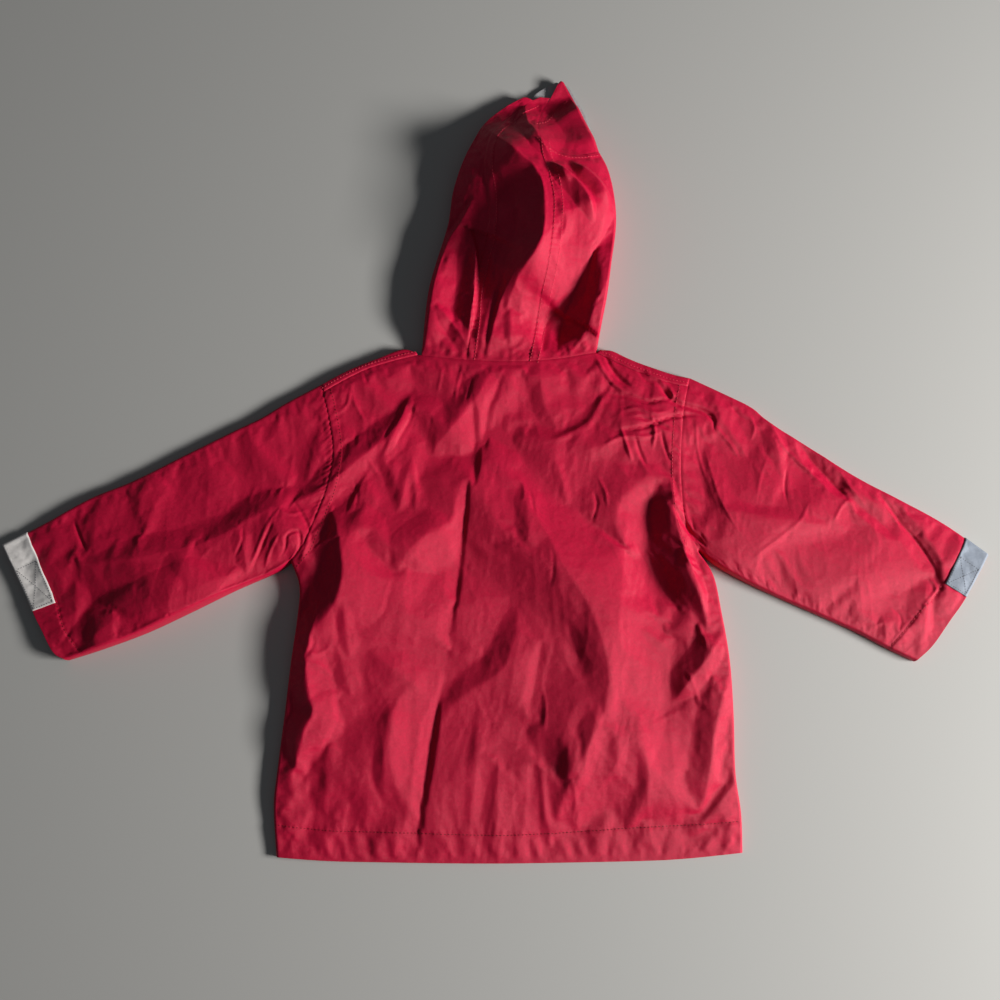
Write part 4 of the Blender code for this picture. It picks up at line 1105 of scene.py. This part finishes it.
def settled(grid, excess, stiffness):
    """A grid of cloth after it has buckled between its held edges, cut longer than its form by the excess."""
    number = numbered(grid)
    cloth = mesh_object("settling", grid.reshape(-1, 3), quads(number[:-1], number[1:]))
    held = np.ones(number.shape, bool)
    held[SIM_HELD:-SIM_HELD, SIM_HELD:-SIM_HELD] = False
    pins = cloth.vertex_groups.new(name="held")
    pins.add(number[held].tolist(), 1.0, "REPLACE")

    modifier = cloth.modifiers.new("settle", "CLOTH")
    given = modifier.settings
    for setting, value in SIM_CLOTH.items():
        setattr(given, setting, value)
    given.bending_stiffness = stiffness
    given.vertex_group_mass = pins.name
    given.shrink_min = given.shrink_max = -excess
    given.effector_weights.gravity = 0
    modifier.collision_settings.use_collision = False
    modifier.point_cache.frame_start = 1
    modifier.point_cache.frame_end = SIM_FRAMES
    stage = bpy.context.scene
    stage.frame_start, stage.frame_end = 1, SIM_FRAMES
    for frame_number in range(1, SIM_FRAMES + 1):
        stage.frame_set(frame_number)
    result = cloth.evaluated_get(bpy.context.evaluated_depsgraph_get()).data
    places = np.empty(grid.size)
    result.vertices.foreach_get("co", places)
    bpy.data.objects.remove(cloth)
    stage.frame_set(1)
    return places.reshape(grid.shape) / MM


def cubic_rows(places, count):
    """Weights that read a row of evenly spaced values at these fractions, by a Catmull-Rom curve."""
    spot = np.asarray(places) * (count - 1)
    first = np.clip(np.floor(spot).astype(int), 0, count - 2)
    t = spot - first
    weights = np.zeros((len(spot), count))
    parts = (
        (-1, (-t + 2 * t**2 - t**3) / 2),
        (0, 1 - 2.5 * t**2 + 1.5 * t**3),
        (1, (t + 4 * t**2 - 3 * t**3) / 2),
        (2, (t**3 - t**2) / 2),
    )
    for offset, weight in parts:
        np.add.at(weights, (np.arange(len(spot)), np.clip(first + offset, 0, count - 1)), weight)
    return weights


def draped(sides, across, up, drape):
    """A panel between four lines: its form, the way the cloth settles on it, and its small detail."""
    plan = patch(*sides, across, up)
    start = upright(plan, drape.form(plan) + drape.detail(plan))
    low, high, left, right = (length_of(line) for line in sides)
    columns, rows = int(max(low, high) / SIM_STEP), int(max(left, right) / SIM_STEP)
    coarse = patch(*sides, np.linspace(0, 1, columns), np.linspace(0, 1, rows))
    before = upright(coarse, drape.form(coarse))
    move = settled(before, drape.excess, drape.stiffness) - before
    move = np.einsum("ar,rck,bc->abk", cubic_rows(up, rows), move, cubic_rows(across, columns))
    made = start + move
    made[..., 2] = np.maximum(made[..., 2], drape.floor(made[..., :2]))
    return made


# Panels


def make_back():
    left = joined(smooth(SIDE_LEFT), smooth(ARMHOLE_LEFT))
    right = joined(smooth(SIDE_RIGHT), smooth(ARMHOLE_RIGHT))
    top = joined(smooth(SHOULDER_SEAM_LEFT), smooth(NECK), smooth(SHOULDER_SEAM_RIGHT)[::-1])
    across, up = (fractions(length, BACK_GRID) for length in BACK_SIZE)
    grid = draped((smooth(HEM), top, left, right), across, up, BODY_DRAPE)
    return fine_shell("back_cloth", grid, RED)


def sleeve_sides(side):
    """A sleeve's armhole, cuff, lower fold and upper fold, in plan."""
    armhole, top_line, low_line, cuff = SLEEVE_LINES[side]
    armhole = joined(smooth(armhole), np.array([top_line[0]], float))
    return armhole, smooth(cuff), smooth(low_line), smooth(top_line)


def make_sleeve(side):
    """A sleeve as a flattened tube, and the reflective tab round the upper fold of its cuff."""
    sides = sleeve_sides(side)
    low, high = sides[2:]
    length = length_of(high)
    up = fractions(length)
    width = SLEEVE_WIDTH
    edge = np.array(SLEEVE_EDGE_ROWS)
    middle = np.linspace(SLEEVE_MIDDLE, width - SLEEVE_MIDDLE, int(width / GRID))
    across = np.concatenate([[0], edge, middle, width - edge[::-1], [width]]) / width
    middle = np.linspace(width - UNDER_MIDDLE, UNDER_MIDDLE, UNDER_ROWS)
    below = np.concatenate([width - edge, middle, edge[::-1]]) / width
    top = draped(sides, across, up, BODY_DRAPE)
    lower = patch(*sides, below, up)
    tab_start = 1 - TAB_WIDTH / length
    under_tab = ease((up - tab_start + 0.012) / 0.012)[:, None] * ease((below - TAB_TO + 0.04) / 0.04)
    flat = EDGE_HEIGHT * (1 - rolled(gap_to(lower, (low, high)), EDGE_INSET))
    bottom = upright(lower, flat + TAB_ROOM * under_tab)
    top[:, 0, 2] = top[:, -1, 2] = EDGE_HEIGHT
    grid = np.concatenate([top, bottom], axis=1)

    rows = np.linspace(tab_start, 1, TAB_ROWS)
    columns = np.flatnonzero(np.concatenate([across > TAB_FROM[side], below > TAB_TO]))
    base = [[np.interp(rows, up, grid[:, column, axis]) for column in columns] for axis in range(3)]
    base = np.stack(base, axis=-1).transpose(1, 0, 2)
    normal = np.cross(np.gradient(base, axis=1), np.gradient(base, axis=0))
    normal /= np.linalg.norm(normal, axis=-1, keepdims=True)
    normal *= np.sign(normal[:, TAB_TOP_COLUMN, 2].mean())
    grid_tab = base + normal * TAB_PROUD
    grid_tab[..., 2] = np.maximum(grid_tab[..., 2], TAB_FLOOR)
    if side == "right":
        grid, grid_tab = grid[::-1], grid_tab[::-1]
    # The left tab gets the copy of the tape with the painted highlight.
    tape = TAPE_HIGHLIT if side == "left" else TAPE_COOL
    tab = shell(f"tab_{side}_tape", grid_tab, tape, TAPE)
    return fine_shell(f"sleeve_{side}_cloth", grid, RED, ring=True), tab


def make_hood_side(side, lines, top_seam=None):
    """A side of the hood, and its lower layer from the folded edge to the lip."""
    edge, lip, seam = (smooth(line) for line in lines)
    high = np.array([edge[-1], seam[-1]]) if top_seam is None else top_seam
    high[0], high[-1] = edge[-1], seam[-1]
    low = between(smooth(NECK), edge[0], seam[0])
    edge[0], seam[0] = low[0], low[-1]
    up = fractions(length_of(edge))
    width = length_of(low) + HOOD_EXTRA
    even = np.linspace(HOOD_MIDDLE, width - SEAM_ROW, int(width / GRID))
    across = np.concatenate([[0, *EDGE_ROWS, HOOD_LAST_ROW], even, [width]]) / width
    upper = draped((low, high, edge, seam), across, up, HOOD_DRAPE)
    upper[:, 0, 2] = EDGE_HEIGHT
    low_under = between(smooth(NECK_FRONT), edge[0], lip[0])
    low_under[0], lip[0] = edge[0], low_under[-1]
    under = np.concatenate([[0.012, 0.03, 0.06], np.linspace(0.1, 1, 20)])
    lower = patch(low_under, np.array([edge[-1], lip[-1]]), edge, lip, under, up)[:, ::-1]
    flat = EDGE_HEIGHT * (1 - rolled(nearest(lower, edge)[0], EDGE_INSET))
    grid = np.concatenate([upright(lower, flat), upper], axis=1)
    if side == "right":
        grid = grid[:, ::-1]
    return fine_shell(f"hood_side_{side}_cloth", grid, RED)


def make_hood():
    """The hood's pieces, by the names of their nodes."""
    made = {"hood_side_left": make_hood_side("left", (HOOD_EDGE_LEFT, LIP_LEFT, HOOD_SEAM_LEFT))}
    right_lines = (HOOD_EDGE_RIGHT, LIP_RIGHT, HOOD_SEAM_RIGHT)
    made["hood_side_right"] = make_hood_side("right", right_lines, smooth(BRIM_SEAM)[::-1])

    left = smooth(HOOD_SEAM_LEFT)
    brim_side = smooth(BRIM_EDGE_LEFT)
    right = joined(smooth(HOOD_SEAM_RIGHT), brim_side[brim_side[:, 1] < CENTRE_TOP_Y], [CENTRE_CORNER])
    low = between(smooth(NECK), left[0], right[0])
    left[0], right[0] = low[0], low[-1]
    sides = (low, np.array([left[-1], CENTRE_TOP, right[-1]]), left, right)
    across, up = (fractions(length) for length in CENTRE_SIZE)
    made["hood_centre"] = fine_shell("hood_centre_cloth", draped(sides, across, up, HOOD_DRAPE), RED)

    left, right, low = smooth(BRIM_EDGE_LEFT), smooth(BRIM_EDGE_RIGHT), smooth(BRIM_SEAM)
    low[0], low[-1] = left[0], right[0]
    across, up = (fractions(length) for length in BRIM_SIZE)
    plan = patch(low, np.array([left[-1], right[-1]]), left, right, across, up)
    height = np.maximum(hood_form(plan) + hood_detail(plan), BRIM_LIFT)
    made["hood_brim"] = fine_shell("hood_brim_cloth", upright(plan, height), RED)

    left, right = smooth(LINING_LEFT), smooth(LINING_RIGHT)
    low, high = np.array([left[0], right[0]]), np.array([left[-1], right[-1]])
    across, up = (fractions(length) for length in LINING_SIZE)
    plan = patch(low, high, left, right, across, up)
    grid = upright(plan, np.full(plan.shape[:-1], LINING_HEIGHT))
    made["hood_lining"] = shell("hood_lining_cloth", grid, LINING_GREY)
    return made


def left_height(x):
    return PLACKET_LIFT * ease((x - LAP_START + PLACKET_BEFORE) / PLACKET_RAMP)


def right_height(x):
    return (PLACKET_LIFT + LOWER_CLOTH + LIE_GAP) * ease((LAP_END + PLACKET_AFTER - x) / PLACKET_RAMP)


def make_front(side):
    """One front: flat on the surface, then round the shoulder fold to the seam with the back."""
    side_line, armhole, shoulder_edge, shoulder_seam = FRONT_LINES[side]
    sign, height = (-1, left_height) if side == "left" else (1, right_height)
    side_line = joined(smooth(side_line), smooth(armhole))
    outer_side = joined(side_line, np.array([shoulder_edge[0]], float))
    centre_x = CENTRE_X - sign * OVERLAP / 2
    hem = smooth(HEM)
    hem = hem[hem[:, 0] < centre_x] if sign < 0 else hem[hem[:, 0] > centre_x][::-1]
    hem = joined(hem, np.array([(centre_x, HEM_Y)]))
    edge = smooth(shoulder_edge)
    inset = edge + (0, -EDGE_INSET)
    inset[0] = outer_side[-1] + (0, -EDGE_INSET)
    outer_side[-1] = inset[0]
    front_neck = smooth(NECK_FRONT) + (0, -FRONT_NECK_INSET)
    place = np.interp(centre_x, front_neck[:, 0], front_neck[:, 1])
    middle = np.array([(centre_x, HEM_Y), (centre_x, place)])
    neckline = between(front_neck, inset[-1], middle[-1])
    neckline[0] = inset[-1]

    count = SHOULDER_COLUMNS
    shoulder = np.linspace(0, 1, count)
    neck = np.linspace(0, 1, NECK_COLUMNS)[1:]
    top = np.vstack([at(inset, shoulder), at(neckline, neck)])
    shares = (np.linspace(0, SHOULDER_SHARE, count), np.linspace(SHOULDER_SHARE, 1, NECK_COLUMNS)[1:])
    across = np.concatenate(shares)
    up = np.linspace(0, 1, FRONT_ROWS)
    corners = (hem[0], hem[-1], top[0], top[-1])
    flat = coons(at(hem, across), top, at(outer_side, up), at(middle, up), corners, across, up)
    turn_up = TURN_UP * (1 - rolled(nearest(flat, side_line)[0], TURN_WIDTH))
    grids = [upright(flat, height(flat[..., 0]) + turn_up)]
    fold_line = at(edge, shoulder)
    seam_line = at(smooth(shoulder_seam), shoulder)
    for out, level in ((0.5, 0.28), (1.0, 1.0)):
        line = top[:count] * (1 - out) + fold_line * out
        row = np.vstack([line, top[count:]])
        grids.append(upright(row, np.full(len(across), EDGE_HEIGHT * level))[None])
    for reach in np.linspace(0, 1, TURN_ROWS)[1:]:
        row = np.vstack([fold_line + reach * (seam_line - fold_line), top[count:]])
        grids.append(upright(row, body_height(row))[None])
    grid = np.concatenate(grids)
    keep = np.ones((grid.shape[0] - 1, grid.shape[1] - 1), bool)
    keep[FRONT_ROWS - 1 :, count - 1 :] = False
    if sign < 0:
        grid, keep = grid[:, ::-1], keep[:, ::-1]
    return shell(f"front_{side}_cloth", grid, RED, keep=keep)


# Sewing

NEEDLE_START = 0.2  # metres above the surface
STEEPEST_STITCH = 1.2
STITCH_SIDES = 6
# Rings of points round a stitch: place along it, share of its thickness, and lift above the cloth
STITCH_RINGS = (
    (-0.5, 0.15, -0.3),
    (-0.32, 0.85, -0.05),
    (0.0, 1.0, 0.1),
    (0.32, 0.85, -0.05),
    (0.5, 0.15, -0.3),
)


def cloth_surface(pieces):
    """What a needle comes down on: the highest cloth at each place."""
    points, faces = [], []
    for piece in pieces:
        first = len(points)
        points += [v.co.copy() for v in piece.data.vertices]
        faces += [[first + k for k in face.vertices] for face in piece.data.polygons]
    return BVHTree.FromPolygons(points, faces)


def on_surface(tree, x, y):
    """The top of the cloth at a place and its normal, turned up, or nothing beside the cloth."""
    place, normal, _, _ = tree.ray_cast(Vector((x * MM, y * MM, NEEDLE_START)), Vector((0, 0, -1)))
    if place is None:
        return None, None
    return np.array(place) / MM, np.array(normal) * math.copysign(1, normal.z)


def stitches(name, tree, lines, material, pitch=3.3, length=2.4, radius=0.38):
    """Rows of topstitching: one small rounded bar for each stitch, sunk a little at its ends."""
    points, faces = [], []
    angle = np.linspace(0, 2 * np.pi, STITCH_SIDES, endpoint=False)
    for line in lines:
        curve = smooth(line) if isinstance(line, list) else line
        total = length_of(curve)
        places = np.arange(pitch / 2, total, pitch)
        for (x0, y0), (x1, y1) in zip(at(curve, (places - 0.5) / total), at(curve, (places + 0.5) / total)):
            start, normal = on_surface(tree, x0, y0)
            end, _ = on_surface(tree, x1, y1)
            if start is None or end is None or abs(start[2] - end[2]) > STEEPEST_STITCH:
                continue
            along = (end - start) / np.linalg.norm(end - start)
            side = np.cross(normal, along)
            side /= np.linalg.norm(side)
            normal = np.cross(along, side)
            middle = (start + end) / 2
            first = len(points)
            for place, thick, lift in STITCH_RINGS:
                centre = middle + along * place * length + normal * lift
                for a in angle:
                    points.append(centre + radius * thick * (side * math.cos(a) + normal * math.sin(a)))
            for ring in range(len(STITCH_RINGS) - 1):
                low = first + ring * STITCH_SIDES
                for k in range(STITCH_SIDES):
                    a, b = low + k, low + (k + 1) % STITCH_SIDES
                    faces.append((a, b, b + STITCH_SIDES, a + STITCH_SIDES))
    return mesh_object(name, np.array(points), faces, material)


def tab_lines(side):
    """The boxed cross sewn on a tab's lower half, in plan."""
    sides = sleeve_sides(side)
    length = length_of(sides[3])
    start = TAB_FROM[side]
    across = [start + BOX_INSET_ACROSS, start + (1 - start) * BOX_WIDTH]
    up = [1 - (TAB_WIDTH - BOX_INSET) / length, 1 - BOX_INSET / length]
    (a, b), (c, d) = patch(*sides, across, up)
    edges = [(a, b), (b, d), (d, c), (c, a), (a, d), (b, c)]
    return [np.linspace(start, end, BOX_POINTS) for start, end in edges]


def settle(piece, slot, *nodes):
    """Attach a piece to the root body and hide the nodes that it replaces. The slot is not used."""
    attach(piece, "root")
    if nodes:
        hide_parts(*nodes)
    return piece


# Camera and light

CAMERA_AIM = (5, -50, 0)
CAMERA_ELEVATION = 80.0
CAMERA_DISTANCE = 1013.0
CAMERA_VIEW = 50.0
FLOOR_HALF = 4000.0
FLOOR_COLOUR = (0.5, 0.495, 0.48, 1)
FLOOR_ROUGHNESS = 0.9
WINDOW_PLACE = (2.1, -0.54, 0.86)  # metres
WINDOW_SIZE = (0.85, 0.42)
WINDOW_POWER = 94
WINDOW_COLOUR = (1.0, 0.985, 0.955)
SKY_COLOUR = (0.86, 0.93, 1.0, 1)
SKY_STRENGTH = 0.068


def make_camera():
    data = bpy.data.cameras.new("camera")
    data.sensor_fit = "AUTO"
    data.angle = math.radians(CAMERA_VIEW)
    camera = placed("camera", data)
    e = math.radians(CAMERA_ELEVATION)
    back = Vector((0, -math.cos(e), math.sin(e)))
    camera.location = (Vector(CAMERA_AIM) + back * CAMERA_DISTANCE) * MM
    camera.rotation_euler = (-back).to_track_quat("-Z", "Y").to_euler()
    bpy.context.scene.camera = camera


def make_window():
    """The light of a window low on the right, towards the middle of the jacket."""
    data = bpy.data.lights.new("window", "AREA")
    data.shape = "RECTANGLE"
    data.size, data.size_y = WINDOW_SIZE
    data.energy = WINDOW_POWER
    data.color = WINDOW_COLOUR
    lamp = placed("window", data)
    lamp.location = WINDOW_PLACE
    lamp.rotation_euler = (-Vector(WINDOW_PLACE)).to_track_quat("-Z", "Y").to_euler()


def make_stage():
    """The pale floor, the window's light and the even light of the room."""
    paint, _ = new_material("floor_paint", {"Base Color": FLOOR_COLOUR, "Roughness": FLOOR_ROUGHNESS})
    corners = np.array([(-1, -1, 0), (1, -1, 0), (1, 1, 0), (-1, 1, 0)]) * FLOOR_HALF
    mesh_object("floor", corners, [(0, 1, 2, 3)], paint)
    make_window()
    world = bpy.data.worlds.new("room")
    world.use_nodes = True
    sky = world.node_tree.nodes["Background"]
    sky.inputs["Color"].default_value = SKY_COLOUR
    sky.inputs["Strength"].default_value = SKY_STRENGTH
    bpy.context.scene.world = world
    bpy.context.scene.view_settings.view_transform = "Standard"


# The jacket

make_camera()
make_stage()

back = settle(make_back(), "red_cloth", "back_panel")

front_left = settle(make_front("left"), "red_cloth", "front_left")
front_right = settle(make_front("right"), "red_cloth", "front_right")

sleeve_left, tab_left = make_sleeve("left")
sleeve_right, tab_right = make_sleeve("right")
settle(sleeve_left, "red_cloth", "sleeve_left")
settle(sleeve_right, "red_cloth", "sleeve_right")
settle(tab_left, "grey_tape", "cuff_tab_left")
settle(tab_right, "grey_tape", "cuff_tab_right")

# Flat size and area of each piece of the hood, in metres
HOOD_CUTS = {
    "hood_side_left": ((0.125, 0.285), 0.031),
    "hood_side_right": ((0.135, 0.285), 0.032),
    "hood_centre": ((0.078, 0.29), 0.0185),
    "hood_brim": ((0.065, 0.095), 0.0042),
    "hood_lining": ((0.055, 0.045), 0.00155),
}
hood = make_hood()
for node, piece in hood.items():
    settle(piece, "grey_lining" if node == "hood_lining" else "red_cloth", node)
    flat, area = HOOD_CUTS[node]

# Topstitching beside seams: the seam, and how far to its left. All of it is the same red thread, drawn darker
# as painted shade on some rows and lighter as a painted highlight on the others.
SHADED_ROWS = [(ARMHOLE_LEFT, -8)]
LIT_ROWS = [
    (ARMHOLE_RIGHT, 8),
    (SHOULDER_SEAM_LEFT, 4),
    (SHOULDER_SEAM_RIGHT, -4),
    (HOOD_SEAM_LEFT, -7.5),
    (HOOD_SEAM_RIGHT, -1.4),
    (HOOD_SEAM_RIGHT, -9),
    (BRIM_SEAM, -4),
]
panels = [back, front_left, front_right, sleeve_left, sleeve_right]
cloth = cloth_surface([*panels, tab_left, tab_right, *hood.values()])
dark = [HEM_STITCH, CUFF_STITCH_LEFT, *(beside(smooth(line), gap) for line, gap in SHADED_ROWS)]
light = [CUFF_STITCH_RIGHT, *(beside(smooth(line), gap) for line, gap in LIT_ROWS), BRIM_STITCH]
settle(stitches("topstitching_painted_shade", cloth, dark, THREAD_SHADED), "red_cloth")
settle(stitches("topstitching_painted_highlight", cloth, light, THREAD_LIT), "red_cloth")
boxes = tab_lines("left") + tab_lines("right")
settle(stitches("tab_stitching", cloth, boxes, THREAD_GREY, 2.4, 1.7, 0.3), "grey_tape")

for number in range(1, SNAPS + 1):
    bpy.data.objects[f"snap_{number}"].material_slots[0].material = SNAP_RED
